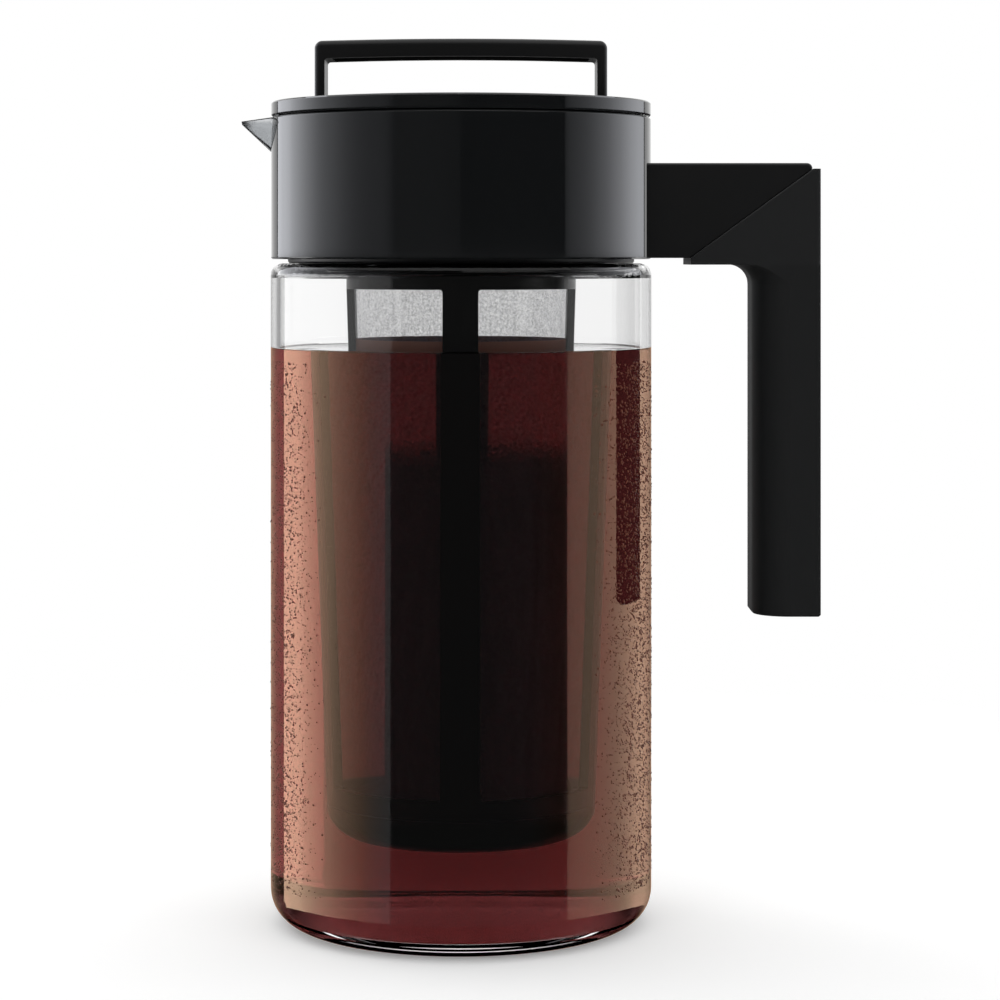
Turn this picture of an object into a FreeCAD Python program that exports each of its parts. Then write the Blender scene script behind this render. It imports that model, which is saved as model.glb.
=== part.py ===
"""A cold brew coffee maker: glass carafe with a collar, spout and handle, a push-in lid
that turns to pour, and a brewing filter that screws to the underside of the lid.

Millimetres. +Z is up, the origin is the middle of the carafe's base, the handle points
along +X and the spout along -X."""

import FreeCAD, Part
import math
import os
import re

import Sketcher

doc = FreeCAD.newDocument("ColdBrewMaker")

# ---------------------------------------------------------------- driving dimensions
# Heights are measured from the table, radii from the carafe's axis, unless a note says
# otherwise. A size in quotes follows from other sizes.
SIZES = {
    # clearances
    "fit": (0.1, "gap between pieces that stay together"),
    "run": (0.3, "gap between pieces that move past each other"),
    "past": (5.0, "how far a cut runs beyond the faces it goes through"),
    "edge": (0.4, "bevel of small edges"),
    # carafe
    "carafe_radius": (49.0, "outside of the glass body"),
    "glass_wall": (2.3, "glass thickness"),
    "glass_floor": (4.2, "thickness of the base"),
    "base_corner": (9.0, "outside rounding of the base"),
    "floor_corner": (6.5, "inside rounding of the base"),
    "shoulder_inside": (1.5, "inside rounding of the shoulder"),
    "shoulder_height": (169.2, "flat top of the shoulder"),
    "shoulder_corner": (3.0, "rounding of the shoulder"),
    "neck_radius": (43.0, "outside of the neck"),
    "neck_height": (19.8, "neck above the shoulder, with its bead"),
    "bead_proud": (1.4, "bead beyond the neck"),
    "bead_tall": (3.0, "height of the bead"),
    "bead_edge": (0.8, "bevels of the bead"),
    # seals between glass and collar
    "boot_wall": (1.5, "thickness of the silicone boot round the neck"),
    "boot_tall": (7.5, "height of the boot"),
    "rim_pad": (1.2, "thickness of the pad on the glass rim"),
    # collar
    "collar_radius": (48.9, "outside of the collar"),
    "collar_lift": (1.0, "collar above the glass shoulder"),
    "collar_tall": (36.3, "height of the collar"),
    "shell_wall": (1.8, "thickness of the outer shell"),
    "shell_floor": (1.5, "thickness of the flange under the shell"),
    "liner_wall": (2.6, "liner wall round the lid"),
    "shelf": (2.0, "thickness of the liner's shelf over the glass rim"),
    "shelf_radius": (41.4, "opening in the shelf"),
    "lead_in": (0.6, "bevel at the mouth of the liner"),
    # spout
    "spout_reach": (7.6, "tip beyond the collar"),
    "spout_run": (10.6, "root section to tip"),
    "root_half": (12.4, "half width at the root section"),
    "root_deep": (12.7, "depth at the root section"),
    "lip_half": (2.3, "half width at the tip"),
    "lip_deep": (0.8, "depth at the tip"),
    "lip_drop": (0.9, "tip below the collar's top"),
    "spout_wall": (1.7, "thickness of the spout at its root"),
    "lip_wall": (0.5, "thickness of the spout at its tip, thin for a clean pour"),
    "spout_inlet": (3.2, "channel behind the root section"),
    "keel_round": (2.6, "rounding of the keel at the root"),
    # handle
    "arm_lift": (0.3, "underside of the arm above the collar's lower edge"),
    "arm_low": ("shoulder_height + collar_lift + arm_lift", "underside of the arm"),
    "arm_tall": (24.1, "height of the arm"),
    "arm_half": (13.6, "half width of the arm"),
    "arm_edge": (0.7, "rounding of the arm's long edges"),
    "seam_start": (58.3, "mitre seam's lower end, from the axis"),
    "seam_end": (89.2, "mitre seam's upper end, from the axis"),
    "seam_tall": (22.5, "mitre seam's upper end above its lower end"),
    "seam_top": ("arm_low + seam_tall", "height of the seam's upper end"),
    "arm_nose": (1.4, "rounding of the arm's far top corner"),
    "seam_bevel": (0.3, "bevels along both sides of the mitre seam"),
    "grip_inside": (74.4, "hand side of the grip, from the axis"),
    "grip_outside": (91.3, "outer side of the grip, from the axis"),
    "grip_step": (1.7, "underside of the grip's shoulder below the arm's"),
    "grip_ledge": ("arm_low - grip_step", "underside of the grip's shoulder"),
    "grip_long": (89.2, "length of the grip under its shoulder, for the hand"),
    "grip_bottom": ("grip_ledge - grip_long", "lower end of the grip"),
    "grip_half": (14.2, "half width of the grip"),
    "grip_round": (9.0, "rounding of the grip's hand side"),
    "grip_edge": (1.2, "rounding of the grip's outer edges"),
    "grip_blend": (5.0, "blend from the grip into its shoulder"),
    "tang_wall": (3.0, "grip material round the tang"),
    "tang_half": (7.0, "half width of the tang"),
    "tang_short": (16.0, "tang end above the grip's lower end"),
    "tang_root": (1.2, "tang's overlap with the arm, above the seam"),
    "tang_nose": (2.6, "tang's outer side, cut back under the seam"),
    "seam_show": (0.2, "grip beyond the arm at the seam's upper end"),
    "recess_radius": (4.2, "recess for the grip's screw"),
    "recess_deep": (6.0, "depth of that recess"),
    # fasteners
    "screw_radius": (1.75, "screw shank"),
    "head_radius": (3.2, "screw head"),
    "head_tall": (1.9, "height of a screw head"),
    "head_rim": (0.4, "straight rim of a countersunk head"),
    "head_inset": (0.05, "countersunk head below the liner's inner face"),
    "screw_short": (1.15, "end of a handle screw short of its insert's end"),
    "screw_long": (
        "collar_radius + insert_inset + insert_long - screw_short - neck_radius - bead_proud - run - head_inset",
        "handle screw under its head",
    ),
    "screw_lift": (8.0, "lower handle screw above the arm's underside"),
    "screw_low": ("arm_low + screw_lift", "height of the lower handle screw"),
    "screw_pitch": (8.0, "lower to upper handle screw"),
    "insert_radius": (2.9, "outside of a brass insert"),
    "insert_long": (8.0, "length of a brass insert"),
    "insert_inset": (2.0, "insert below the arm's end"),
    "grip_screw_long": (14.0, "grip screw under its head"),
    "plug_tall": (2.5, "thickness of the plug under the grip"),
    "plug_inset": (0.2, "plug above the grip's lower end"),
    # lid
    "lid_radius": (48.9, "outside of the lid"),
    "lid_tall": (3.7, "thickness of the lid's rim"),
    "dish_radius": (45.0, "shallow dish in the lid's top"),
    "dish_deep": (1.3, "depth of the dish"),
    "boss_tall": (1.6, "locating ring under the lid"),
    "plug_round": (1.0, "bevel inside the plug"),
    "boss_wall": (1.8, "thickness of the locating ring"),
    "skirt_wall": (1.7, "wall of the plug"),
    "plug_clear": (0.6, "plug's floor above the liner's shelf"),
    "web": (1.8, "thickness of the plug's floor"),
    "flange": (1.1, "flanges that hold the seal band"),
    "band": (1.3, "thickness of the seal band"),
    "band_lip": (0.35, "lips of the band beyond its wall"),
    "lip_tall": (1.4, "height of a lip"),
    "window_wide": (24.0, "pour window across"),
    "window_low": (2.0, "pour window above the plug's floor"),
    "window_tall": (7.4, "height of the pour window"),
    "window_round": (2.0, "corners of the pour window"),
    "slot_inside": (31.6, "inner edge of the pour slots"),
    "slot_outside": (38.4, "outer edge of the pour slots"),
    "slot_turn": (42.0, "angle of one pour slot, degrees"),
    "slots": (6, "number of pour slots"),
    "socket_radius": (27.0, "screw socket that carries the filter"),
    "socket_wall": (1.8, "wall of the socket"),
    "socket_tall": (8.0, "height of the socket"),
    "ring_inside": (45.2, "inside of the rim seal"),
    "ring_wide": (1.4, "width of the rim seal"),
    "ring_tall": (1.1, "height of the rim seal"),
    "ring_rest": (0.2, "rim seal above the collar when the lid is down"),
    # lid strap
    "strap_half": (37.4, "half length of the strap"),
    "strap_tall": (15.5, "top of the strap at its ends above the lid"),
    "strap_height": (
        "shoulder_height + collar_lift + collar_tall + run + lid_tall + strap_tall",
        "top of the strap at its ends",
    ),
    "strap_rise": (0.6, "arch of the strap's top"),
    "strap_deep": (17.0, "width of the strap, front to back"),
    "strap_bar": (4.5, "thickness of the bar"),
    "strap_leg": (2.6, "thickness of a leg"),
    "strap_corner": (2.0, "outer corners"),
    "strap_edge": (1.6, "rounding along the top edges"),
    "strap_inner": (0.8, "inner corners"),
    "strap_rim": (1.8, "wall round the channel under the strap"),
    "strap_roof": (1.9, "strap above that channel, at its ends"),
    "tenon_deep": (12.0, "width of a tenon in the lid"),
    "tenon_wall": (1.8, "thickness of a tenon"),
    "hook_tall": (1.4, "height of a tenon's hook"),
    "hook_out": (0.9, "hook beyond the tenon"),
    "hook_land": (0.3, "straight part of the hook"),
    # filter
    "filter_top": (29.6, "outside of the frame under its top ring"),
    "filter_foot": (25.7, "outside of the frame at its foot"),
    "filter_bottom": (22.4, "underside of the filter"),
    "frame_wall": (1.9, "thickness of the frame"),
    "ring_drop": (6.6, "lower edge of the top ring below the glass shoulder"),
    "ring_low": ("shoulder_height - ring_drop", "lower edge of the top ring"),
    "top_ring": (30.2, "outside of the top ring's head"),
    "head_ring_tall": (7.4, "height of the head, with its thread"),
    "head_flare": (2.4, "start of the head's flare, below its thread"),
    "frame_gap": (1.8, "frame below the plug's floor"),
    "foot_tall": (8.6, "base cup's height"),
    "foot_ring": (5.0, "height of the frame's foot ring"),
    "foot_corner": (8.0, "rounding of the base cup"),
    "foot_wall": (1.8, "thickness of the base cup"),
    "foot_tenon": (3.0, "base cup's tenon in the frame"),
    "tenon_ring": (1.2, "wall of that tenon"),
    "rib_wide": (8.8, "width of a rib"),
    "pane_round": (0.8, "corners of the filter's panes"),
    "mesh_wall": (0.35, "thickness of the mesh"),
    "mesh_over": (6.0, "mesh above the panes"),
    "washer_wide": (2.0, "width of the filter's seal"),
    "washer_tall": (1.2, "height of the filter's seal"),
}

dims = doc.addObject("Spreadsheet::Sheet", "dims")
for row, name in enumerate(SIZES, start=1):
    dims.setAlias(f"B{row}", name)
for row, (size, note) in enumerate(SIZES.values(), start=1):
    dims.set(f"A{row}", note)
    dims.set(f"B{row}", f"={size}")
doc.recompute()

# Heights and radii that several pieces share, as formulas of the sizes above.
COLLAR_LOW = "(shoulder_height + collar_lift)"
COLLAR_TOP = "(shoulder_height + collar_lift + collar_tall)"
RIM = "(shoulder_height + neck_height)"
NECK_BORE = "(neck_radius - glass_wall)"
BEAD = "(neck_radius + bead_proud)"
BOOT = "(neck_radius + fit + boot_wall)"
LINER = "(collar_radius - shell_wall - fit)"
BORE = "(collar_radius - shell_wall - fit - liner_wall)"
SHELF_TOP = "(shoulder_height + neck_height + rim_pad + shelf)"
LID_LOW = "(shoulder_height + collar_lift + collar_tall + run)"
LID_TOP = "(shoulder_height + collar_lift + collar_tall + run + lid_tall)"
BAND_OUT = "(collar_radius - shell_wall - fit - liner_wall - run)"
BAND_IN = "(collar_radius - shell_wall - fit - liner_wall - run - band)"
SKIRT_OUT = "(collar_radius - shell_wall - 2 * fit - liner_wall - run - band)"
SKIRT_IN = "(collar_radius - shell_wall - 2 * fit - liner_wall - run - band - skirt_wall)"
PLUG_LOW = "(shoulder_height + neck_height + rim_pad + shelf + plug_clear)"
PLUG_FLOOR = "(shoulder_height + neck_height + rim_pad + shelf + plug_clear + web)"
FRAME_TOP = "(shoulder_height + neck_height + rim_pad + shelf + plug_clear - frame_gap)"
SEAM_SLOPE = "((seam_top - arm_low) / (seam_end - seam_start))"
STRAP_MID = "(strap_half - strap_leg / 2)"
SCREW_SEAT = "(neck_radius + bead_proud + run + head_inset)"
SCREW_HEIGHTS = ("screw_low", "screw_low + screw_pitch")
TANG_MID = "((grip_inside + grip_outside) / 2)"


# ---------------------------------------------------------------- drawing helpers
def formula(text):
    """Point every size named in the text at its cell of the sheet."""
    return re.sub(r"[a-z_]+", lambda word: "dims." + word[0] if word[0] in SIZES else word[0], str(text))


def value(text):
    """The number that a formula gives."""
    return float(dims.evalExpression(formula(text)))


def bind(thing, prop, text):
    """Set a property from a formula and keep it tied to the sheet."""
    thing.setExpression(prop, formula(text))


def new_body(label):
    body = doc.addObject("PartDesign::Body", label)
    body.Label = label
    return body


def new_sketch(body, plane, offset="0"):
    """An empty sketch on one of the body's origin planes, moved along its normal."""
    sketch = body.newObject("Sketcher::SketchObject", body.Label + "_sketch")
    support = [f for f in body.Origin.OriginFeatures if f.Role == plane + "_Plane"][0]
    sketch.AttachmentSupport = [(support, "")]
    sketch.MapMode = "FlatFace"
    sketch.AttachmentOffset = FreeCAD.Placement(FreeCAD.Vector(0, 0, value(offset)), FreeCAD.Rotation())
    bind(sketch, "AttachmentOffset.Base.z", offset)
    return sketch


def pin_point(sketch, geometry, place, x, y):
    """Hold a point of the sketch at two formulas."""
    for kind, text in (("DistanceX", x), ("DistanceY", y)):
        number = sketch.addConstraint(Sketcher.Constraint(kind, -1, 1, geometry, place, value(text)))
        bind(sketch, f"Constraints[{number}]", text)


def outline(sketch, corners):
    """Draw a closed outline. A corner is (x, y), (x, y, rounding) or (x, y, size,
    "bevel"), and each size is a formula."""
    points = [FreeCAD.Vector(value(c[0]), value(c[1]), 0) for c in corners]
    sizes = [value(c[2]) if len(c) > 2 else 0.0 for c in corners]
    count = len(corners)
    arrive, leave, centres = [], [], []
    for i, point in enumerate(points):
        back = (points[i - 1] - point).normalize()
        ahead = (points[(i + 1) % count] - point).normalize()
        reach, centre = sizes[i], point
        if len(corners[i]) == 3:
            half = back.getAngle(ahead) / 2
            reach = sizes[i] / math.tan(half)
            centre = point + (back + ahead).normalize() * (sizes[i] / math.sin(half))
        arrive.append(point + back * reach)
        leave.append(point + ahead * reach)
        centres.append(centre)
    lines = [
        sketch.addGeometry(Part.LineSegment(leave[i], arrive[(i + 1) % count]), False) for i in range(count)
    ]
    for i, corner in enumerate(corners):
        before, after = lines[i - 1], lines[i]
        if len(corner) == 2:
            sketch.addConstraint(Sketcher.Constraint("Coincident", before, 2, after, 1))
            pin_point(sketch, after, 1, corner[0], corner[1])
            continue
        tip = sketch.addGeometry(Part.Point(points[i]), True)
        for line in (before, after):
            sketch.addConstraint(Sketcher.Constraint("PointOnObject", tip, 1, line))
        pin_point(sketch, tip, 1, corner[0], corner[1])
        if len(corner) == 3:
            round_corner(sketch, before, after, arrive[i], leave[i], centres[i], corner[2])
        else:
            bevel_corner(sketch, before, after, arrive[i], leave[i], tip, corner[2])
    return sketch


def round_corner(sketch, before, after, arrive, leave, centre, radius):
    """Join two lines by an arc that touches both."""
    start, end = arrive - centre, leave - centre
    turns_left = start.cross(end).z > 0
    first, last = (start, end) if turns_left else (end, start)
    circle = Part.Circle(centre, FreeCAD.Vector(0, 0, 1), value(radius))
    angles = [math.atan2(ray.y, ray.x) for ray in (first, last)]
    arc = sketch.addGeometry(Part.ArcOfCircle(circle, angles[0], angles[1]), False)
    arc_start, arc_end = (1, 2) if turns_left else (2, 1)
    sketch.addConstraint(Sketcher.Constraint("Tangent", before, 2, arc, arc_start))
    sketch.addConstraint(Sketcher.Constraint("Tangent", after, 1, arc, arc_end))
    number = sketch.addConstraint(Sketcher.Constraint("Radius", arc, value(radius)))
    bind(sketch, f"Constraints[{number}]", radius)


def bevel_corner(sketch, before, after, arrive, leave, tip, size):
    """Join two lines by a straight bevel, equally far from the corner on both."""
    cut = sketch.addGeometry(Part.LineSegment(arrive, leave), False)
    sketch.addConstraint(Sketcher.Constraint("Coincident", before, 2, cut, 1))
    sketch.addConstraint(Sketcher.Constraint("Coincident", cut, 2, after, 1))
    for end in (1, 2):
        number = sketch.addConstraint(Sketcher.Constraint("Distance", tip, 1, cut, end, value(size)))
        bind(sketch, f"Constraints[{number}]", size)


def ring(sketch, radii, x="0", y="0"):
    """Draw circles round one point."""
    for radius in radii:
        centre = FreeCAD.Vector(value(x), value(y), 0)
        circle = sketch.addGeometry(Part.Circle(centre, FreeCAD.Vector(0, 0, 1), value(radius)), False)
        pin_point(sketch, circle, 3, x, y)
        number = sketch.addConstraint(Sketcher.Constraint("Radius", circle, value(radius)))
        bind(sketch, f"Constraints[{number}]", radius)
    return sketch


def turn(body, corners, angle="360", cut=False):
    """Turn an outline of (radius, height) corners about the axis."""
    kind = "Groove" if cut else "Revolution"
    feature = body.newObject("PartDesign::" + kind, body.Label + "_turn")
    sketch = outline(new_sketch(body, "XZ"), corners)
    feature.Profile = sketch
    feature.ReferenceAxis = (sketch, ["V_Axis"])
    bind(feature, "Angle", angle)
    return feature


def extrude(body, sketch, length, cut=False, both=False, back=False):
    """Pad or pocket a sketch by a length, to both sides or backwards if asked."""
    feature = body.newObject("PartDesign::" + ("Pocket" if cut else "Pad"), body.Label + "_pad")
    feature.Profile = sketch
    feature.SideType = "Symmetric" if both else "One side"
    feature.Reversed = back
    bind(feature, "Length", length)
    return feature


def loft(body, sections, cut=False):
    """Join sketches into one tapering form, or cut it away."""
    kind = "SubtractiveLoft" if cut else "AdditiveLoft"
    feature = body.newObject("PartDesign::" + kind, body.Label + "_loft")
    feature.Profile = sections[0]
    feature.Sections = sections[1:]
    feature.Ruled = True
    return feature


def repeat(body, feature, count, angle="360"):
    """Repeat a feature round the axis."""
    pattern = body.newObject("PartDesign::PolarPattern", body.Label + "_pattern")
    pattern.Originals = [feature]
    pattern.Axis = ([f for f in body.Origin.OriginFeatures if f.Role == "Z_Axis"][0], [""])
    bind(pattern, "Angle", angle)
    bind(pattern, "Occurrences", count)
    body.Tip = pattern
    return pattern


def edges_where(feature, test):
    """Names of the feature's edges whose middle and end points pass a test."""
    doc.recompute()
    names = []
    for number, edge in enumerate(feature.Shape.Edges, start=1):
        middle = edge.valueAt((edge.FirstParameter + edge.LastParameter) / 2)
        ends = [v.Point for v in edge.Vertexes]
        if test(middle, ends):
            names.append(f"Edge{number}")
    return names


def near(one, other):
    """Whether two lengths agree, as far as the test of an edge needs."""
    return abs(one - other) < 0.01


def soften(body, feature, test, radius, kind="Fillet"):
    """Round or bevel the edges that pass a test."""
    names = edges_where(feature, test)
    if not names:
        raise RuntimeError(f"{body.Label}: no edge to soften")
    blend = body.newObject("PartDesign::" + kind, body.Label + "_blend")
    blend.Base = (feature, names)
    bind(blend, "Radius" if kind == "Fillet" else "Size", radius)
    body.Tip = blend
    return blend


# ---------------------------------------------------------------- the glass and its seals
def make_carafe():
    """Blown glass: thick floor, straight wall, short neck with a bead at the rim."""
    body = new_body("carafe")
    turn(
        body,
        [
            ("0", "0"),
            ("carafe_radius", "0", "base_corner"),
            ("carafe_radius", "shoulder_height", "shoulder_corner"),
            ("neck_radius", "shoulder_height"),
            ("neck_radius", f"{RIM} - bead_tall"),
            (BEAD, f"{RIM} - bead_tall", "bead_edge", "bevel"),
            (BEAD, RIM, "bead_edge", "bevel"),
            (NECK_BORE, RIM, "bead_edge", "bevel"),
            (NECK_BORE, "shoulder_height - glass_wall", "bead_edge", "bevel"),
            ("carafe_radius - glass_wall", "shoulder_height - glass_wall", "shoulder_inside"),
            ("carafe_radius - glass_wall", "glass_floor", "floor_corner"),
            ("0", "glass_floor"),
        ],
    )
    return body


def make_neck_boot():
    """Silicone sleeve on the neck: it shows as the dark ring under the collar."""
    body = new_body("neck_boot")
    low, high = "shoulder_height", "(shoulder_height + boot_tall)"
    turn(
        body,
        [
            ("neck_radius + fit", low),
            (BOOT, low, "edge", "bevel"),
            (BOOT, high),
            ("neck_radius + fit", high),
        ],
    )
    return body


def make_rim_pad():
    """Flat silicone ring between the glass rim and the liner's shelf."""
    body = new_body("rim_pad")
    turn(
        body,
        [
            (f"{NECK_BORE} + bead_edge", RIM),
            (f"{BEAD} - bead_edge", RIM),
            (f"{BEAD} - bead_edge", f"{RIM} + rim_pad"),
            (f"{NECK_BORE} + bead_edge", f"{RIM} + rim_pad"),
        ],
    )
    return body


def make_neck_clamp(label, start):
    """Half of the split ring that catches under the bead and keeps the collar down."""
    body = new_body(label)
    low = "(shoulder_height + boot_tall + fit)"
    high = f"({RIM} - bead_tall - fit)"
    turn(
        body,
        [
            ("neck_radius + fit", low),
            (f"{BEAD} + run - fit", low),
            (f"{BEAD} + run - fit", high),
            ("neck_radius + fit", high),
        ],
        angle="179",
    )
    body.Placement = FreeCAD.Placement(
        FreeCAD.Vector(0, 0, 0), FreeCAD.Rotation(FreeCAD.Vector(0, 0, 1), start + 0.5)
    )
    return body


# ---------------------------------------------------------------- collar and spout
def spout_section(body, station, grow="0", rise="0"):
    """A V-shaped section of the spout, a station's distance in from the tip: grown for
    the notch in the shell, shrunk for the channel, and both go straight up past the top."""
    share = f"({station} / spout_run)"
    half = f"(lip_half + (root_half - lip_half) * {share} + {grow})"
    deep = f"(lip_deep + (root_deep - lip_deep) * {share} + {grow})"
    top = f"({COLLAR_TOP} - lip_drop * (1 - {share}))"
    keel = f"(keel_round * {half} / root_half)"
    sketch = new_sketch(body, "YZ", f"{station} - collar_radius - spout_reach")
    corners = [(f"-{half}", top), ("0", f"{top} - {deep}", keel), (half, top)]
    if rise != "0":
        corners = [(f"-{half}", f"{top} + {rise}"), *corners, (half, f"{top} + {rise}")]
    return outline(sketch, corners)


def make_pour_liner():
    """Inner ring of the collar with the spout moulded on: shelf over the glass rim, bore
    for the lid above it and a skirt down over the neck."""
    body = new_body("pour_liner")
    low = f"({COLLAR_LOW} + shell_floor + fit)"
    turn(
        body,
        [
            (f"{BEAD} + run", low),
            (LINER, low),
            (LINER, COLLAR_TOP),
            (f"{BORE} + lead_in", COLLAR_TOP),
            (BORE, f"{COLLAR_TOP} - lead_in"),
            (BORE, SHELF_TOP),
            ("shelf_radius", SHELF_TOP),
            ("shelf_radius", f"{SHELF_TOP} - shelf"),
            (f"{BEAD} + run", f"{SHELF_TOP} - shelf"),
        ],
    )
    loft(body, [spout_section(body, "spout_run"), spout_section(body, "0")])
    loft(
        body,
        [
            spout_section(body, "(spout_run + spout_inlet)", "(-1 * spout_wall)", "spout_wall"),
            spout_section(body, "0", "(-1 * lip_wall)", "spout_wall"),
        ],
        cut=True,
    )
    screw_holes(body)
    countersinks(body)
    return body


def screw_holes(body):
    """Holes along X for the two handle screws."""
    for height in SCREW_HEIGHTS:
        sketch = ring(new_sketch(body, "YZ", "neck_radius"), ["screw_radius + fit"], y=height)
        extrude(body, sketch, "collar_radius - neck_radius + past", cut=True, back=True)


def countersinks(body):
    """Seats for the heads of those screws, on the liner's inner side."""
    rim = f"({SCREW_SEAT} + head_rim + fit)"
    throat = f"({SCREW_SEAT} + head_tall + fit)"
    for height in SCREW_HEIGHTS:
        mouth = ring(new_sketch(body, "YZ", rim), ["head_radius + fit"], y=height)
        extrude(body, mouth, "past", cut=True)
        wide = ring(new_sketch(body, "YZ", rim), ["head_radius + fit"], y=height)
        narrow = ring(new_sketch(body, "YZ", throat), ["screw_radius + fit"], y=height)
        loft(body, [wide, narrow], cut=True)


def make_collar_shell():
    """Glossy outer band with a flange below, notched for the spout."""
    body = new_body("collar_shell")
    turn(
        body,
        [
            (f"{BOOT} + fit", COLLAR_LOW),
            ("collar_radius", COLLAR_LOW, "edge", "bevel"),
            ("collar_radius", COLLAR_TOP, "edge", "bevel"),
            ("collar_radius - shell_wall", COLLAR_TOP),
            ("collar_radius - shell_wall", f"{COLLAR_LOW} + shell_floor"),
            (f"{BOOT} + fit", f"{COLLAR_LOW} + shell_floor"),
        ],
    )
    loft(
        body,
        [
            spout_section(body, "(spout_run + spout_inlet)", "fit", "spout_wall"),
            spout_section(body, "0", "fit", "spout_wall"),
        ],
        cut=True,
    )
    screw_holes(body)
    return body


# ---------------------------------------------------------------- handle
def seam_height(x):
    """Height of the mitre seam at a distance from the axis."""
    return f"(arm_low + ({x} - seam_start) * {SEAM_SLOPE})"


def on_seam(point):
    """Whether a point lies on the mitre seam."""
    return near(point.z - value("arm_low"), value(SEAM_SLOPE) * (point.x - value("seam_start")))


def tang_outline(grow):
    """The tang inside the grip, grown on every side for the pocket that takes it."""
    left = f"(grip_inside - tang_wall - {grow})"
    inner = f"(grip_inside + tang_wall - {grow})"
    outer = f"(grip_outside - tang_wall + {grow})"
    nose = f"({outer} - tang_nose)"
    low = f"(grip_bottom + tang_short - {grow})"
    ledge = f"(grip_ledge + tang_wall - {grow})"
    return [
        (left, ledge),
        (inner, ledge),
        (inner, low),
        (outer, low),
        (outer, seam_height(nose)),
        (nose, f"{seam_height(nose)} + tang_root"),
        (left, f"{seam_height(left)} + tang_root"),
    ]


def make_handle_arm():
    """Arm that leaves the collar, cut off at a mitre, with a tang down the grip."""
    body = new_body("handle_arm")
    top = "(arm_low + arm_tall)"
    start = "(collar_radius - arm_half)"
    arm = outline(
        new_sketch(body, "XZ"),
        [
            (start, "arm_low"),
            ("seam_start", "arm_low"),
            ("seam_end", "seam_top"),
            ("seam_end", top, "arm_nose"),
            (start, top),
        ],
    )
    block = extrude(body, arm, "2 * arm_half", both=True)
    high, half = value(top), value("arm_half")
    eased = soften(
        body, block, lambda middle, ends: near(middle.z, high) and near(abs(middle.y), half), "arm_edge"
    )
    soften(
        body, eased, lambda middle, ends: on_seam(middle) and near(abs(middle.y), half), "seam_bevel", "Chamfer"
    )
    extrude(body, outline(new_sketch(body, "XZ"), tang_outline("0")), "2 * tang_half", both=True)
    # the end that meets the collar follows its curve
    turn(
        body,
        [
            ("0", f"{COLLAR_LOW} - past"),
            ("collar_radius + fit", f"{COLLAR_LOW} - past"),
            ("collar_radius + fit", f"{COLLAR_TOP} + past"),
            ("0", f"{COLLAR_TOP} + past"),
        ],
        cut=True,
    )
    for height in SCREW_HEIGHTS:
        sketch = ring(new_sketch(body, "YZ", SCREW_SEAT), ["insert_radius + fit"], y=height)
        extrude(body, sketch, "screw_long + past", cut=True, back=True)
    sketch = ring(new_sketch(body, "XY", "grip_bottom"), ["screw_radius + fit"], x=TANG_MID)
    extrude(body, sketch, "tang_short + grip_screw_long - recess_deep + edge", cut=True, back=True)
    return body


def make_grip_sleeve():
    """Soft grip over the tang: its hand side is well rounded and blends into a square
    shoulder that wraps the arm up to the mitre."""
    body = new_body("grip_sleeve")
    over = "(grip_blend + past)"
    top = f"({seam_height('(seam_end + seam_show)')})"
    shoulder = outline(
        new_sketch(body, "XZ"),
        [
            ("seam_start", "grip_ledge"),
            (f"grip_outside + {over}", "grip_ledge"),
            (f"grip_outside + {over}", top),
            ("seam_end + seam_show", top),
            ("seam_start", "arm_low"),
        ],
    )
    extrude(body, shoulder, f"2 * (grip_half + {over})", both=True)
    bar = outline(
        new_sketch(body, "XY", "grip_bottom"),
        [
            ("grip_inside", "-grip_half", "grip_round"),
            ("grip_outside", "-grip_half", "grip_edge"),
            ("grip_outside", "grip_half", "grip_edge"),
            ("grip_inside", "grip_half", "grip_round"),
        ],
    )
    stick = extrude(body, bar, "grip_ledge - grip_bottom + edge")
    ledge, half = value("grip_ledge"), value("grip_half")
    inside, outside = value("grip_inside"), value("grip_outside")

    def joins_shoulder(middle, ends):
        level = all(near(p.z, ledge) for p in ends + [middle])
        return level and abs(middle.y) <= half + 0.01 and inside - 0.01 < middle.x < outside + 0.01

    soften(body, stick, joins_shoulder, "grip_blend")
    # trim the shoulder and the blend to the grip's own width and outer side
    trim = new_sketch(body, "XY", "grip_ledge - grip_blend - edge")
    outline(
        trim,
        [
            ("seam_start - 2 * past", f"-(grip_half + {over} + past)"),
            (f"grip_outside + {over} + past", f"-(grip_half + {over} + past)"),
            (f"grip_outside + {over} + past", f"grip_half + {over} + past"),
            ("seam_start - 2 * past", f"grip_half + {over} + past"),
        ],
    )
    outline(
        trim,
        [
            ("seam_start - past", "-grip_half"),
            ("grip_outside", "-grip_half", "grip_edge"),
            ("grip_outside", "grip_half", "grip_edge"),
            ("seam_start - past", "grip_half"),
        ],
    )
    trimmed = extrude(body, trim, "seam_top - grip_ledge + grip_blend + 2 * past", cut=True, back=True)
    soften(
        body, trimmed, lambda middle, ends: on_seam(middle) and near(abs(middle.y), half), "seam_bevel", "Chamfer"
    )
    pocket = outline(new_sketch(body, "XZ"), tang_outline("fit"))
    extrude(body, pocket, "2 * (tang_half + fit)", cut=True, both=True)
    recess = ring(new_sketch(body, "XY", "grip_bottom - past"), ["recess_radius"], x=TANG_MID)
    extrude(body, recess, "recess_deep + past", cut=True, back=True)
    hole = ring(new_sketch(body, "XY", "grip_bottom - past"), ["screw_radius + fit"], x=TANG_MID)
    last = extrude(body, hole, "tang_short + 2 * past", cut=True, back=True)
    bottom = value("grip_bottom")

    def round_the_end(middle, ends):
        from_screw = math.hypot(middle.x - value(TANG_MID), middle.y)
        return near(middle.z, bottom) and from_screw > value("recess_radius") + value("edge")

    soften(body, last, round_the_end, "edge", kind="Chamfer")
    return body


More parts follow.
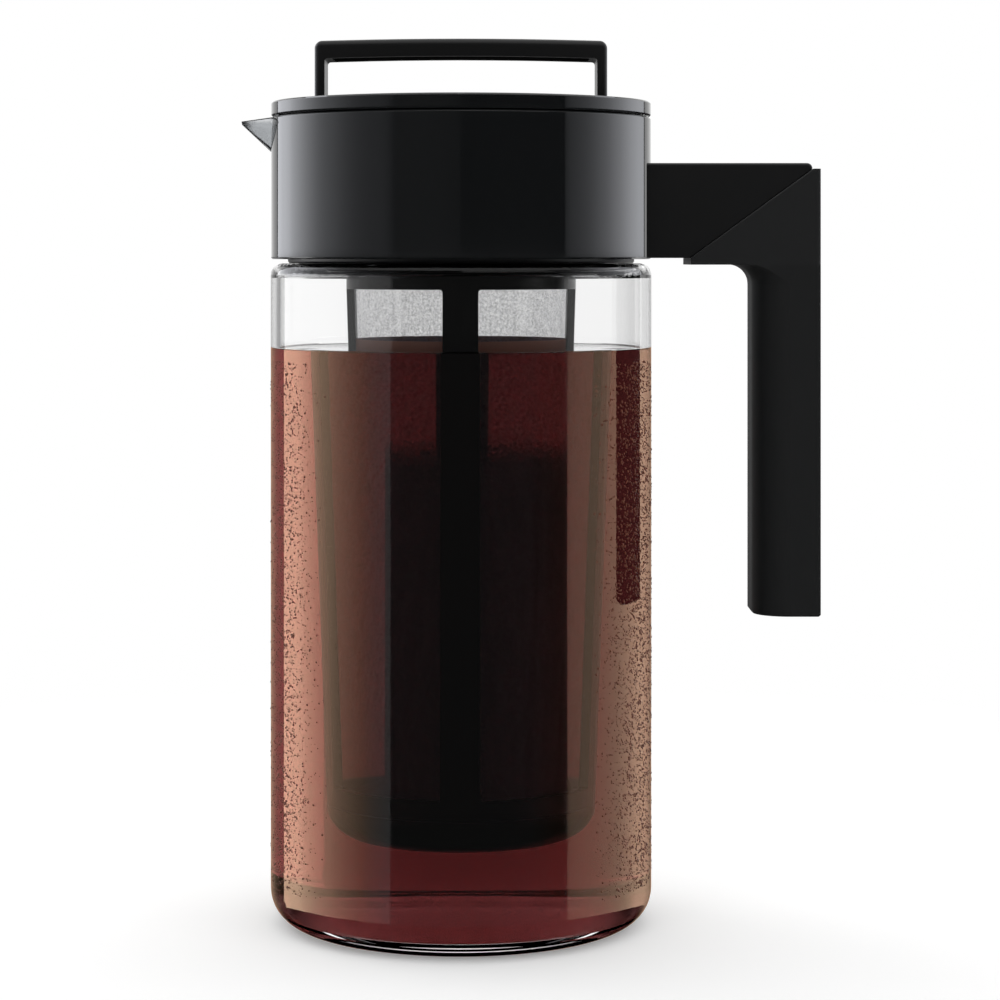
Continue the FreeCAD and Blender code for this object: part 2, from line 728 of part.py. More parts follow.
# ---------------------------------------------------------------- fasteners
def make_screw(label, length, countersunk):
    """A screw along +X from the top of its head, with a driver recess."""
    body = new_body(label)
    turn(
        body,
        [
            ("0", "0"),
            ("head_radius", "0"),
            ("head_radius", "head_rim" if countersunk else "head_tall"),
            ("screw_radius", "head_tall"),
            ("screw_radius", f"head_tall + {length}", "edge", "bevel"),
            ("0", f"head_tall + {length}"),
        ],
    )
    recess = outline(
        new_sketch(body, "XY"),
        [
            ("-0.5 * head_radius", "-0.2 * head_radius"),
            ("0.5 * head_radius", "-0.2 * head_radius"),
            ("0.5 * head_radius", "0.2 * head_radius"),
            ("-0.5 * head_radius", "0.2 * head_radius"),
        ],
    )
    extrude(body, recess, "0.5 * head_tall", cut=True, back=True)
    return body


def group(label, source, spots, rotation):
    """Copies of one solid at several places, as one node."""
    doc.recompute()
    copies = []
    for x, y, z in spots:
        shape = source.Shape.copy()
        place = FreeCAD.Placement(FreeCAD.Vector(value(x), value(y), value(z)), rotation)
        shape.Placement = place.multiply(shape.Placement)
        copies.append(shape)
    node = doc.addObject("Part::Feature", label)
    node.Label = label
    node.Shape = Part.Compound(copies)
    return node


def make_insert():
    """A brass insert: a short threaded bush, moulded into the arm."""
    body = new_body("insert_pattern")
    turn(
        body,
        [
            ("screw_radius + fit", "0"),
            ("insert_radius", "0"),
            ("insert_radius", "0.4 * insert_long"),
            ("insert_radius - edge", "0.4 * insert_long"),
            ("insert_radius - edge", "0.6 * insert_long"),
            ("insert_radius", "0.6 * insert_long"),
            ("insert_radius", "insert_long"),
            ("screw_radius + fit", "insert_long"),
        ],
    )
    return body


def make_grip_plug():
    """Rubber plug that hides the grip's screw."""
    body = new_body("grip_plug")
    turn(
        body,
        [
            ("0", "grip_bottom + plug_inset"),
            ("recess_radius - fit", "grip_bottom + plug_inset", "edge", "bevel"),
            ("recess_radius - fit", "grip_bottom + plug_inset + plug_tall"),
            ("0", "grip_bottom + plug_inset + plug_tall"),
        ],
    )
    body.Placement = FreeCAD.Placement(FreeCAD.Vector(value(TANG_MID), 0, 0), FreeCAD.Rotation())
    bind(body, "Placement.Base.x", TANG_MID)
    return body


# ---------------------------------------------------------------- lid
def make_lid_cap():
    """The lid's cover: flat rim, shallow dish, groove for the rim seal, locating
    ring for the plug and two slots for the strap."""
    body = new_body("lid_cap")
    groove_in = "(ring_inside - run)"
    groove_out = "(ring_inside + ring_wide + run)"
    groove_top = f"({COLLAR_TOP} + ring_rest + ring_tall + run)"
    boss_out = f"({SKIRT_IN} - fit)"
    turn(
        body,
        [
            ("0", LID_LOW),
            (f"{boss_out} - boss_wall", LID_LOW),
            (f"{boss_out} - boss_wall", f"{LID_LOW} - boss_tall"),
            (boss_out, f"{LID_LOW} - boss_tall"),
            (boss_out, LID_LOW),
            (groove_in, LID_LOW),
            (groove_in, groove_top),
            (groove_out, groove_top),
            (groove_out, LID_LOW),
            ("lid_radius", LID_LOW, "edge", "bevel"),
            ("lid_radius", LID_TOP, "edge", "bevel"),
            ("dish_radius + dish_deep", LID_TOP),
            ("dish_radius", f"{LID_TOP} - dish_deep"),
            ("0", f"{LID_TOP} - dish_deep"),
        ],
    )
    slot = outline(
        new_sketch(body, "XY", f"{LID_LOW} - boss_tall"),
        [
            (f"{STRAP_MID} - tenon_wall / 2 - fit", "-(tenon_deep / 2 + fit)"),
            (f"{STRAP_MID} + tenon_wall / 2 + fit", "-(tenon_deep / 2 + fit)"),
            (f"{STRAP_MID} + tenon_wall / 2 + fit", "tenon_deep / 2 + fit"),
            (f"{STRAP_MID} - tenon_wall / 2 - fit", "tenon_deep / 2 + fit"),
        ],
    )
    cut = extrude(body, slot, "boss_tall + lid_tall + past", cut=True, back=True)
    repeat(body, cut, "2")
    return body


def window_cut(body):
    """The pour window, through the wall that faces the spout."""
    low, high = f"({PLUG_FLOOR} + window_low)", f"({PLUG_FLOOR} + window_low + window_tall)"
    sketch = outline(
        new_sketch(body, "YZ", f"-{BORE} - past"),
        [
            ("-window_wide / 2", low, "window_round"),
            ("window_wide / 2", low, "window_round"),
            ("window_wide / 2", high, "window_round"),
            ("-window_wide / 2", high, "window_round"),
        ],
    )
    return extrude(body, sketch, f"{BORE} / 2", cut=True, back=True)


def make_lid_plug():
    """Plug under the cap: a grooved skirt for the seal band with a pour window, a floor
    with pour slots, and the threaded socket for the filter."""
    body = new_body("lid_plug")
    flange_out = f"({BAND_OUT} - run)"
    turn(
        body,
        [
            ("0", PLUG_LOW),
            ("socket_radius - socket_wall", PLUG_LOW),
            ("socket_radius - socket_wall", f"{PLUG_LOW} - socket_tall"),
            ("socket_radius", f"{PLUG_LOW} - socket_tall", "edge", "bevel"),
            ("socket_radius", PLUG_LOW),
            (flange_out, PLUG_LOW, "edge", "bevel"),
            (flange_out, f"{PLUG_LOW} + flange"),
            (SKIRT_OUT, f"{PLUG_LOW} + flange"),
            (SKIRT_OUT, f"{LID_LOW} - flange"),
            (flange_out, f"{LID_LOW} - flange"),
            (flange_out, LID_LOW),
            (SKIRT_IN, LID_LOW),
            (SKIRT_IN, PLUG_FLOOR, "plug_round", "bevel"),
            ("0", PLUG_FLOOR),
        ],
    )
    window_cut(body)
    slot = new_sketch(body, "XY", f"{PLUG_LOW} - past")
    slot_outline(slot)
    cut = extrude(body, slot, "web + 2 * past", cut=True, back=True)
    repeat(body, cut, "slots")
    return body


def slot_outline(sketch):
    """One curved slot: two arcs about the axis, joined by straight ends."""
    half = math.radians(value("slot_turn") / 2)
    origin, up = FreeCAD.Vector(0, 0, 0), FreeCAD.Vector(0, 0, 1)
    radii = ("slot_inside", "slot_outside")
    arcs = [
        sketch.addGeometry(Part.ArcOfCircle(Part.Circle(origin, up, value(r)), -half, half), False)
        for r in radii
    ]
    for arc, radius in zip(arcs, radii):
        sketch.addConstraint(Sketcher.Constraint("Coincident", arc, 3, -1, 1))
        number = sketch.addConstraint(Sketcher.Constraint("Radius", arc, value(radius)))
        bind(sketch, f"Constraints[{number}]", radius)
    for place, sign in ((1, -1), (2, 1)):
        ends = [FreeCAD.Vector(math.cos(half), sign * math.sin(half), 0) * value(r) for r in radii]
        side = sketch.addGeometry(Part.LineSegment(ends[0], ends[1]), False)
        sketch.addConstraint(Sketcher.Constraint("Coincident", arcs[0], place, side, 1))
        sketch.addConstraint(Sketcher.Constraint("Coincident", arcs[1], place, side, 2))
        sketch.addConstraint(Sketcher.Constraint("PointOnObject", -1, 1, side))
        number = sketch.addConstraint(Sketcher.Constraint("DistanceY", -1, 1, arcs[1], place, ends[1].y))
        bind(sketch, f"Constraints[{number}]", f"{sign} * slot_outside * sin(slot_turn / 2 * 1deg)")


def make_seal_band():
    """Silicone band in the plug's groove, with a lip round its top and bottom. It shuts
    the spout unless its window faces it."""
    body = new_body("seal_band")
    low, high = f"({PLUG_LOW} + flange + fit / 2)", f"({LID_LOW} - flange - fit / 2)"
    wall = f"({BAND_OUT} - band_lip)"
    turn(
        body,
        [
            (BAND_IN, low),
            (BAND_OUT, low, "edge", "bevel"),
            (BAND_OUT, f"{low} + lip_tall - band_lip"),
            (wall, f"{low} + lip_tall"),
            (wall, f"{high} - lip_tall"),
            (BAND_OUT, f"{high} - lip_tall + band_lip"),
            (BAND_OUT, high, "edge", "bevel"),
            (BAND_IN, high),
        ],
    )
    window_cut(body)
    return body


def make_rim_seal():
    """Silicone ring in the groove under the lid's rim."""
    body = new_body("rim_seal")
    low = f"({COLLAR_TOP} + ring_rest)"
    turn(
        body,
        [
            ("ring_inside", low, "edge", "bevel"),
            ("ring_inside + ring_wide", low, "edge", "bevel"),
            ("ring_inside + ring_wide", f"{low} + ring_tall"),
            ("ring_inside", f"{low} + ring_tall"),
        ],
    )
    return body


def make_lid_strap():
    """Flat carrying strap over the lid, gently arched, with hooked tenons below."""
    body = new_body("lid_strap")
    foot = f"({LID_TOP} - dish_deep)"
    under = "(strap_height - strap_bar)"
    # the arch is one arc over the straight run between the corners
    run = "(strap_half - 3 * strap_corner)"
    peak = f"(strap_rise / (1 - {run} / (2 * strap_half)))"
    arch = f"({run} * strap_half / {peak})"
    arch_under = f"({run} * (strap_half - strap_leg) / {peak})"
    bow = outline(
        new_sketch(body, "XZ"),
        [
            ("-strap_half", foot),
            ("-strap_half", "strap_height", "strap_corner"),
            ("0", f"strap_height + {peak}", arch),
            ("strap_half", "strap_height", "strap_corner"),
            ("strap_half", foot),
            ("strap_half - strap_leg", foot),
            ("strap_half - strap_leg", under, "strap_inner"),
            ("0", f"{under} + {peak}", arch_under),
            ("-strap_half + strap_leg", under, "strap_inner"),
            ("-strap_half + strap_leg", foot),
        ],
    )
    block = extrude(body, bow, "strap_deep", both=True)
    deep, high = value("strap_deep") / 2, value("strap_height")
    half = value("strap_half")

    def outer_edge(middle, ends):
        on_side = all(near(abs(p.y), deep) for p in ends + [middle])
        return on_side and (middle.z > high - 1 or near(abs(middle.x), half))

    soften(body, block, outer_edge, "strap_edge")
    # the bar is cored out from below, as a moulded bar is
    reach, side = "(strap_half - strap_leg - strap_rim)", "(strap_deep / 2 - strap_rim)"
    channel = outline(
        new_sketch(body, "XY", "strap_height - strap_roof"),
        [
            (f"-{reach}", f"-{side}", "strap_inner"),
            (reach, f"-{side}", "strap_inner"),
            (reach, side, "strap_inner"),
            (f"-{reach}", side, "strap_inner"),
        ],
    )
    extrude(body, channel, "strap_bar", cut=True)
    inner = f"({STRAP_MID} - tenon_wall / 2)"
    outer = f"({STRAP_MID} + tenon_wall / 2)"
    low = f"({LID_LOW} - fit)"
    for sign in ("", "-1 * "):
        tenon = outline(
            new_sketch(body, "XZ"),
            [
                (f"{sign}{inner}", f"{foot} + strap_leg"),
                (f"{sign}{inner}", f"{low} - hook_tall"),
                (f"{sign}{outer}", f"{low} - hook_tall"),
                (f"{sign}({outer} + hook_out)", f"{low} - hook_land"),
                (f"{sign}({outer} + hook_out)", low),
                (f"{sign}{outer}", low),
                (f"{sign}{outer}", f"{foot} + strap_leg"),
            ],
        )
        extrude(body, tenon, "tenon_deep", both=True)
    return body


# ---------------------------------------------------------------- filter
def cone(height, shrink="0"):
    """Radius of the filter's tapered outside at a height, less a wall."""
    base = "(filter_bottom + foot_tall)"
    rise = f"({height} - {base}) / (ring_low - {base})"
    return f"(filter_foot + (filter_top - filter_foot) * ({rise}) - {shrink})"


def make_filter_frame():
    """Moulded frame: threaded head, four ribs and a foot ring round open panes."""
    body = new_body("filter_frame")
    low = "(filter_bottom + foot_tall)"
    head = f"({FRAME_TOP} - head_ring_tall)"
    thread = "(socket_radius + run)"
    turn(
        body,
        [
            (cone(low, "frame_wall"), low),
            (cone(low), low),
            (cone("ring_low"), "ring_low"),
            (cone("ring_low"), f"{head} - head_flare - edge"),
            ("top_ring", f"{head} - head_flare"),
            ("top_ring", FRAME_TOP, "edge", "bevel"),
            (thread, FRAME_TOP),
            (thread, head),
            (cone("ring_low", "frame_wall"), f"{head} - head_flare"),
            (cone("ring_low", "frame_wall"), "ring_low"),
        ],
    )
    pane_low = f"({low} + foot_ring)"
    corner = new_sketch(body, "XY", pane_low)
    outline(
        corner,
        [
            ("rib_wide / 2", "rib_wide / 2"),
            ("top_ring + past", "rib_wide / 2"),
            ("top_ring + past", "top_ring + past"),
            ("rib_wide / 2", "top_ring + past"),
        ],
    )
    cut = extrude(body, corner, f"ring_low - {pane_low}", cut=True, back=True)
    panes = repeat(body, cut, "4")
    ends = (value(pane_low), value("ring_low"))
    rib = value("rib_wide") / 2

    def pane_corner(middle, points):
        at_end = any(all(near(p.z, z) for p in points) for z in ends)
        return at_end and (near(abs(middle.x), rib) or near(abs(middle.y), rib))

    soften(body, panes, pane_corner, "pane_round")
    return body


def make_filter_mesh():
    """Woven stainless mesh rolled into a tapered tube behind the ribs."""
    body = new_body("filter_mesh")
    low = "(filter_bottom + foot_tall + fit)"
    high = "ring_low"
    outside, inside = "(frame_wall + fit)", "(frame_wall + fit + mesh_wall)"
    turn(
        body,
        [
            (cone(low, inside), low),
            (cone(low, outside), low),
            (cone(high, outside), high),
            (cone(high, outside), f"{high} + mesh_over"),
            (cone(high, inside), f"{high} + mesh_over"),
            (cone(high, inside), high),
        ],
    )
    return body


def make_filter_base():
    """Closed cup that snaps into the frame's foot."""
    body = new_body("filter_base")
    top = "(filter_bottom + foot_tall - fit)"
    tenon = f"({cone(top, 'frame_wall')} - 2 * fit - mesh_wall)"
    turn(
        body,
        [
            ("0", "filter_bottom"),
            (cone(top), "filter_bottom", "foot_corner"),
            (cone(top), top),
            (tenon, top),
            (tenon, f"{top} + foot_tenon"),
            (f"{tenon} - tenon_ring", f"{top} + foot_tenon"),
            (f"{tenon} - tenon_ring", "filter_bottom + foot_wall", "foot_corner - foot_wall", "bevel"),
            ("0", "filter_bottom + foot_wall"),
        ],
    )
    return body


def make_filter_seal():
    """Flat silicone ring that the filter's head is screwed up against."""
    body = new_body("filter_seal")
    low = f"({FRAME_TOP} + (frame_gap - washer_tall) / 2)"
    inside = "(socket_radius + run)"
    turn(
        body,
        [
            (inside, low),
            (f"{inside} + washer_wide", low),
            (f"{inside} + washer_wide", f"{low} + washer_tall"),
            (inside, f"{low} + washer_tall"),
        ],
    )
    return body


# ---------------------------------------------------------------- assembly
nodes = [
    make_carafe(),
    make_neck_boot(),
    make_rim_pad(),
    make_neck_clamp("neck_clamp_front", 180),
    make_neck_clamp("neck_clamp_rear", 0),
    make_pour_liner(),
    make_collar_shell(),
    make_handle_arm(),
    make_grip_sleeve(),
    make_grip_plug(),
    make_lid_cap(),
    make_lid_plug(),
    make_seal_band(),
    make_lid_strap(),
    make_rim_seal(),
    make_filter_seal(),
    make_filter_frame(),
    make_filter_mesh(),
    make_filter_base(),
]

along_x = FreeCAD.Rotation(FreeCAD.Vector(0, 1, 0), 90)
upward = FreeCAD.Rotation()
handle_screw = make_screw("screw_pattern", "screw_long", countersunk=True)
insert = make_insert()
grip_screw = make_screw("grip_screw_pattern", "grip_screw_long", countersunk=False)
screw_spots = [(SCREW_SEAT, "0", height) for height in SCREW_HEIGHTS]
insert_spots = [("(collar_radius + insert_inset)", "0", height) for height in SCREW_HEIGHTS]
grip_spot = (TANG_MID, "0", "grip_bottom + recess_deep - head_tall")
nodes += [
    group("handle_screws", handle_screw, screw_spots, along_x),
    group("handle_inserts", insert, insert_spots, along_x),
    group("grip_screw", grip_screw, [grip_spot], upward),
]

doc.recompute()
for thing in doc.Objects:
    if "Invalid" in thing.State or "Error" in thing.State:
        raise RuntimeError(f"{thing.Label} ({thing.TypeId}) did not build: {thing.State}")
os.makedirs("parts", exist_ok=True)
for node in nodes:
    shape = node.Shape
    if shape.isNull() or not shape.isValid():
        raise RuntimeError(f"{node.Label} has no valid shape")
    shape.exportStep(f"parts/{node.Label}.step")
    box = shape.BoundBox
    spans = [(box.XMin, box.XMax), (box.YMin, box.YMax), (box.ZMin, box.ZMax)]
    reach = "  ".join(f"{axis} {low:7.2f}..{high:7.2f}" for axis, (low, high) in zip("xyz", spans))
    print(f"{node.Label:18s} {len(shape.Solids)} solid, {shape.Volume / 1000:8.3f} cm3, {reach}")
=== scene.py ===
# %% [markdown]
# # A cold brew coffee maker
#
# The real thing is a glass carafe with a black collar, a pouring spout and a side handle. A
# filter hangs from the lid into the coffee. The construction is already modelled, piece by
# piece, so this lesson loads it and gives it its finishes, its coffee and its light.

import math
import random

import bmesh
import bpy
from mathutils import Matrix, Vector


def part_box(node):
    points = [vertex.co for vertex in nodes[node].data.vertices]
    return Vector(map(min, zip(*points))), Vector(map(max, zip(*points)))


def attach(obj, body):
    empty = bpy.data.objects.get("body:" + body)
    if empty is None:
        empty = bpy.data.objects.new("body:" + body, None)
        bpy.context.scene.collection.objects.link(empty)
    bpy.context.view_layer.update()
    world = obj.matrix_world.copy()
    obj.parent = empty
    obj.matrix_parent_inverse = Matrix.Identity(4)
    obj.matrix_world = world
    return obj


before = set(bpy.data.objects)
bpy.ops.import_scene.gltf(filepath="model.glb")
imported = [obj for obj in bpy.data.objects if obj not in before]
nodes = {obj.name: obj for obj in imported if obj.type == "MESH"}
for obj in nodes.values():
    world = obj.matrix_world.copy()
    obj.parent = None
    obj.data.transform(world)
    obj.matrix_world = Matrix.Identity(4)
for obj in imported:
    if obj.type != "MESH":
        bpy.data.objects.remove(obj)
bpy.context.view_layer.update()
MM = 0.001

# %% [markdown]
# ## The camera
#
# A product shot is taken from far away with a long lens, level with the subject, and the
# lens is shifted down so that upright edges stay upright. Tilting the camera instead would
# make the glass look narrower at its foot.

# %% The camera
EYE_HEIGHT = 170.5 * MM
DISTANCE = 750 * MM
SIDESTEP = 5 * MM
NEAREST = 50 * MM
SENSOR = 36.0
LENS = 2.906 * SENSOR
SHIFT_X, SHIFT_Y = 0.0195, -0.242

camera_data = bpy.data.cameras.new("camera")
camera_data.sensor_width = SENSOR
camera_data.lens = LENS
camera_data.shift_x = SHIFT_X
camera_data.shift_y = SHIFT_Y
camera_data.clip_start = NEAREST
camera = bpy.data.objects.new("camera", camera_data)
camera.location = (SIDESTEP, -DISTANCE, EYE_HEIGHT)
camera.rotation_euler = (math.radians(90), 0, 0)
bpy.context.scene.collection.objects.link(camera)
bpy.context.scene.camera = camera
bpy.context.scene.view_settings.view_transform = "Standard"
print(f"lens {LENS:.1f} mm, {DISTANCE / MM:.0f} mm from the axis")

# %% [markdown]
# ## Colours and nodes
#
# Colours are written as they look on a screen, in sRGB hex, and a renderer works with linear
# light, so one function turns one into the other. A second adds a node with its settings and
# its inputs, which keeps every material short enough to read. A third starts a material.


# %% Colour and node helpers
def linear(code):
    """An sRGB hex colour as linear red, green, blue and alpha."""
    parts = [int(code[i : i + 2], 16) / 255 for i in (1, 3, 5)]
    return tuple(p / 12.92 if p <= 0.04045 else ((p + 0.055) / 1.055) ** 2.4 for p in parts) + (1.0,)


def add(tree, kind, inputs=None, **settings):
    """Add a node. An input gets a number, a hex colour, another node or one of its outputs."""
    node = tree.nodes.new(kind)
    for name, setting in settings.items():
        setattr(node, name, setting)
    for socket, source in (inputs or {}).items():
        if isinstance(source, bpy.types.Node):
            source = next(output for output in source.outputs if output.enabled)
        if isinstance(source, bpy.types.NodeSocket):
            tree.links.new(source, node.inputs[socket])
        else:
            node.inputs[socket].default_value = linear(source) if isinstance(source, str) else source
    return node


def new_material(name):
    """An empty material and its node tree."""
    material = bpy.data.materials.new(name)
    material.use_nodes = True
    material.node_tree.nodes.clear()
    return material, material.node_tree


print("black #101214 is", [round(c, 4) for c in linear("#101214")])

# %% [markdown]
# ## Moulded plastics
#
# Collar, lid and handle are injection moulded. The collar and the lid are polished and carry
# a hard lacquer, which mirrors more than bare plastic does, so their IOR is raised to 2. The
# handle's arm is satin, from a mould with fine spark-eroded grain. The grip is coated or
# moulded in a rubbery, matt material. The filter's frame and foot are polypropylene. They
# stand in coffee, where plastic mirrors far less than in air, so their IOR is lowered. The
# seals are silicone. One function makes them all: a dark colour, a roughness that drifts a
# little across the surface, and a bump whose grain has a real size in millimetres.

# %% Moulded plastic
DRIFT_SIZE = 22.0
NOISE_LOW, NOISE_HIGH = 0.3, 0.7


def moulded(name, colour, roughness, grain_mm, grain_depth_mm, ior=1.5, drift=0.04, edge_mm=0.25):
    """Plastic from a mould: its roughness drifts slowly, and its grain has a real size."""
    material, tree = new_material(name)
    place = add(tree, "ShaderNodeTexCoord").outputs["Object"]
    slow = add(tree, "ShaderNodeTexNoise", {"Vector": place, "Scale": 1 / (DRIFT_SIZE * MM), "Detail": 2.0})
    low, high = roughness - drift / 2, roughness + drift / 2
    rough = add(
        tree,
        "ShaderNodeMapRange",
        {"Value": slow, "From Min": NOISE_LOW, "From Max": NOISE_HIGH, "To Min": low, "To Max": high},
    )
    grain = add(tree, "ShaderNodeTexNoise", {"Vector": place, "Scale": 1 / (grain_mm * MM), "Detail": 3.0})
    soft_edge = add(tree, "ShaderNodeBevel", {"Radius": edge_mm * MM}, samples=4)
    bump = add(
        tree,
        "ShaderNodeBump",
        {"Height": grain, "Normal": soft_edge, "Strength": 1.0, "Distance": grain_depth_mm * MM},
    )
    shader = add(
        tree,
        "ShaderNodeBsdfPrincipled",
        {"Base Color": colour, "IOR": ior, "Roughness": rough, "Normal": bump},
    )
    add(tree, "ShaderNodeOutputMaterial", {"Surface": shader})
    return material


lacquered_abs = moulded("lacquered_black_abs", "#131415", 0.05, 6.0, 0.004, ior=2.0, drift=0.02)
satin_abs = moulded("satin_black_abs", "#131314", 0.36, 0.45, 0.006, ior=1.53)
soft_touch = moulded("soft_touch_elastomer", "#1c1d1e", 0.62, 0.35, 0.01, ior=1.4, edge_mm=0.4)
polypropylene = moulded("black_polypropylene", "#040405", 0.3, 0.6, 0.004, ior=1.25)
silicone = moulded("black_silicone", "#101112", 0.42, 0.5, 0.006, ior=1.42)
print("plastics:", [m.name for m in (lacquered_abs, satin_abs, soft_touch, polypropylene, silicone)])

# %% [markdown]
# ## Clear and smoky materials
#
# The carafe is borosilicate glass, blown in a mould: quite clear, with a faint waviness that
# bends what is seen through it. The spout is moulded in one with the collar's inner ring, in
# a clear plastic with a touch of grey.

# %% Glass and smoky plastic
GLASS_IOR = 1.47


def clear(name, colour, ior, roughness, wave_mm, wave_depth_mm):
    """A clear solid whose surface is very slightly wavy."""
    material, tree = new_material(name)
    place = add(tree, "ShaderNodeTexCoord").outputs["Object"]
    wave = add(tree, "ShaderNodeTexNoise", {"Vector": place, "Scale": 1 / (wave_mm * MM), "Detail": 0.0})
    bump = add(tree, "ShaderNodeBump", {"Height": wave, "Strength": 1.0, "Distance": wave_depth_mm * MM})
    solid = {"Base Color": colour, "IOR": ior, "Roughness": roughness, "Transmission Weight": 1.0}
    shader = add(tree, "ShaderNodeBsdfPrincipled", {**solid, "Normal": bump})
    add(tree, "ShaderNodeOutputMaterial", {"Surface": shader})
    return material


borosilicate = clear("borosilicate_glass", "#fdfdfd", GLASS_IOR, 0.0, 30, 0.02)
smoky_plastic = clear("smoky_clear_plastic", "#e0e2e4", 1.57, 0.12, 12, 0.01)
print("clear materials:", borosilicate.name, smoky_plastic.name)

# %% [markdown]
# Where coffee touches the glass, light doesn't leave into air. What counts there is the ratio
# of the two, 1.47 to 1.33, so that wall hardly mirrors and hardly bends. One mask, the inside
# of the glass below the coffee's edge, switches the glass's IOR between the two. The sizes of
# the glass and the coffee are in millimetres.

# %% The wet inside wall
COFFEE_IOR = 1.333
COFFEE_LEVEL = 147.4
MENISCUS = 0.35
GLASS_INSIDE = 46.7
WALL_MIDDLE = GLASS_INSIDE + 1
UNDERSIDE_END = 3.5

tree = borosilicate.node_tree
place = add(tree, "ShaderNodeTexCoord").outputs["Object"]
axes = add(tree, "ShaderNodeSeparateXYZ", {"Vector": place}).outputs
flat = add(tree, "ShaderNodeVectorMath", {0: place, 1: (1.0, 1.0, 0.0)}, operation="MULTIPLY")
radius = add(tree, "ShaderNodeVectorMath", {0: flat}, operation="LENGTH")
inside = add(tree, "ShaderNodeMath", {0: radius, 1: WALL_MIDDLE * MM}, operation="LESS_THAN")
edge = (COFFEE_LEVEL + MENISCUS) * MM
below = add(tree, "ShaderNodeMath", {0: axes["Z"], 1: edge}, operation="LESS_THAN")
above_floor = add(tree, "ShaderNodeMath", {0: axes["Z"], 1: UNDERSIDE_END * MM}, operation="GREATER_THAN")
wet = add(tree, "ShaderNodeMath", {0: inside, 1: below}, operation="MULTIPLY")
wet = add(tree, "ShaderNodeMath", {0: wet, 1: above_floor}, operation="MULTIPLY")
ratio = add(tree, "ShaderNodeMapRange", {"Value": wet, "To Min": GLASS_IOR, "To Max": GLASS_IOR / COFFEE_IOR})
parts = {node.type: node for node in tree.nodes}
shader, bump, output = (parts[kind] for kind in ("BSDF_PRINCIPLED", "BUMP", "OUTPUT_MATERIAL"))
tree.links.new(ratio.outputs["Result"], shader.inputs["IOR"])
print(f"wet wall bends by {GLASS_IOR / COFFEE_IOR:.3f}")

# %% [markdown]
# Below the coffee's level the glass is put together from a refraction and a mirror, so that the
# mirror can take a colour. Towards the spout's and the handle's side its outside mirror is
# painted a warm tan. This is a painted reflection that stands for the coffee, seen through the
# thin sides, mixing with what the glass mirrors. In the middle, where the coffee is deep, it stays white.

# %% Where the glass's mirror is painted warm
# The painted warm reflection: the tan the glass's mirror is given at the sides, and where it starts and is
# full.
PAINTED_WARM_REFLECTION = "#ffd3b1"
PAINTED_WARMTH_FROM, PAINTED_WARMTH_FULL = 17 * MM, 24 * MM

aside = add(tree, "ShaderNodeMath", {0: axes["X"]}, operation="ABSOLUTE")
painted_warmth_side = add(tree, "ShaderNodeMapRange", {"Value": aside, "From Min": PAINTED_WARMTH_FROM, "From Max": PAINTED_WARMTH_FULL})
back_face = add(tree, "ShaderNodeNewGeometry").outputs["Backfacing"]
front_face = add(tree, "ShaderNodeMath", {0: 1.0, 1: back_face}, operation="SUBTRACT")
painted_warmth_share = add(tree, "ShaderNodeMath", {0: painted_warmth_side, 1: front_face}, operation="MULTIPLY")
painted_reflection_tint = add(tree, "ShaderNodeMix", {"A": "#ffffff", "B": PAINTED_WARM_REFLECTION, "Factor": painted_warmth_share}, data_type="RGBA")
print(f"the full glass mirrors {PAINTED_WARM_REFLECTION} from {PAINTED_WARMTH_FULL / MM:.0f} mm aside")

# %% The glass below the coffee's level
share = add(tree, "ShaderNodeFresnel", {"IOR": ratio, "Normal": bump})
bent = add(
    tree, "ShaderNodeBsdfRefraction", {"Color": "#fefefe", "Roughness": 0.0, "IOR": ratio, "Normal": bump}
)
# The mirror takes the painted warm tint at the sides, a painted reflection.
mirror = add(tree, "ShaderNodeBsdfGlossy", {"Color": painted_reflection_tint, "Roughness": 0.0, "Normal": bump})
full = add(tree, "ShaderNodeMixShader", {"Fac": share, 1: bent, 2: mirror})
both = add(tree, "ShaderNodeMixShader", {"Fac": below, 1: shader, 2: full})
tree.links.new(both.outputs["Shader"], output.inputs["Surface"])
print(f"{borosilicate.name} has {len(tree.nodes)} nodes")

# %% [markdown]
# ## Metals
#
# The screws are plain steel, the inserts turned brass. Both sit inside the handle, and a
# simple metal with fine turning marks is enough for them.

# %% Turned metals
TURNING_STEP, TURNING_DEPTH = 0.8, 0.01


def turned_metal(name, colour, roughness):
    """A small turned part: metal with fine rings along its own axis, which is X here."""
    material, tree = new_material(name)
    place = add(tree, "ShaderNodeTexCoord").outputs["Object"]
    marks = {"Vector": place, "Scale": 1 / (TURNING_STEP * MM), "Distortion": 0.4}
    rings = add(tree, "ShaderNodeTexWave", marks, bands_direction="X").outputs["Fac"]
    bump = add(tree, "ShaderNodeBump", {"Height": rings, "Strength": 1.0, "Distance": TURNING_DEPTH * MM})
    shader = add(
        tree,
        "ShaderNodeBsdfPrincipled",
        {"Base Color": colour, "Metallic": 1.0, "Roughness": roughness, "Normal": bump},
    )
    add(tree, "ShaderNodeOutputMaterial", {"Surface": shader})
    return material


steel = turned_metal("zinc_plated_steel", "#b9bbbd", 0.3)
brass = turned_metal("turned_brass", "#c9a25a", 0.28)
print("metals:", steel.name, brass.name)

# %% [markdown]
# ## The woven mesh
#
# The filter's mesh is stainless wire, woven over and under and rolled into a tube. Real wires
# stand closer than can be seen, so these are drawn 0.25 mm apart, about one pixel here. The
# pattern lives in the tube's own coordinates: how far round, and how high. A hole is where
# both the nearest wire across and the nearest wire up are further off than a wire is thick.

# %% The pattern of wires
WIRE_PITCH = 0.25
WIRE_RELIEF = 0.1
MESH_RADIUS = 26.0

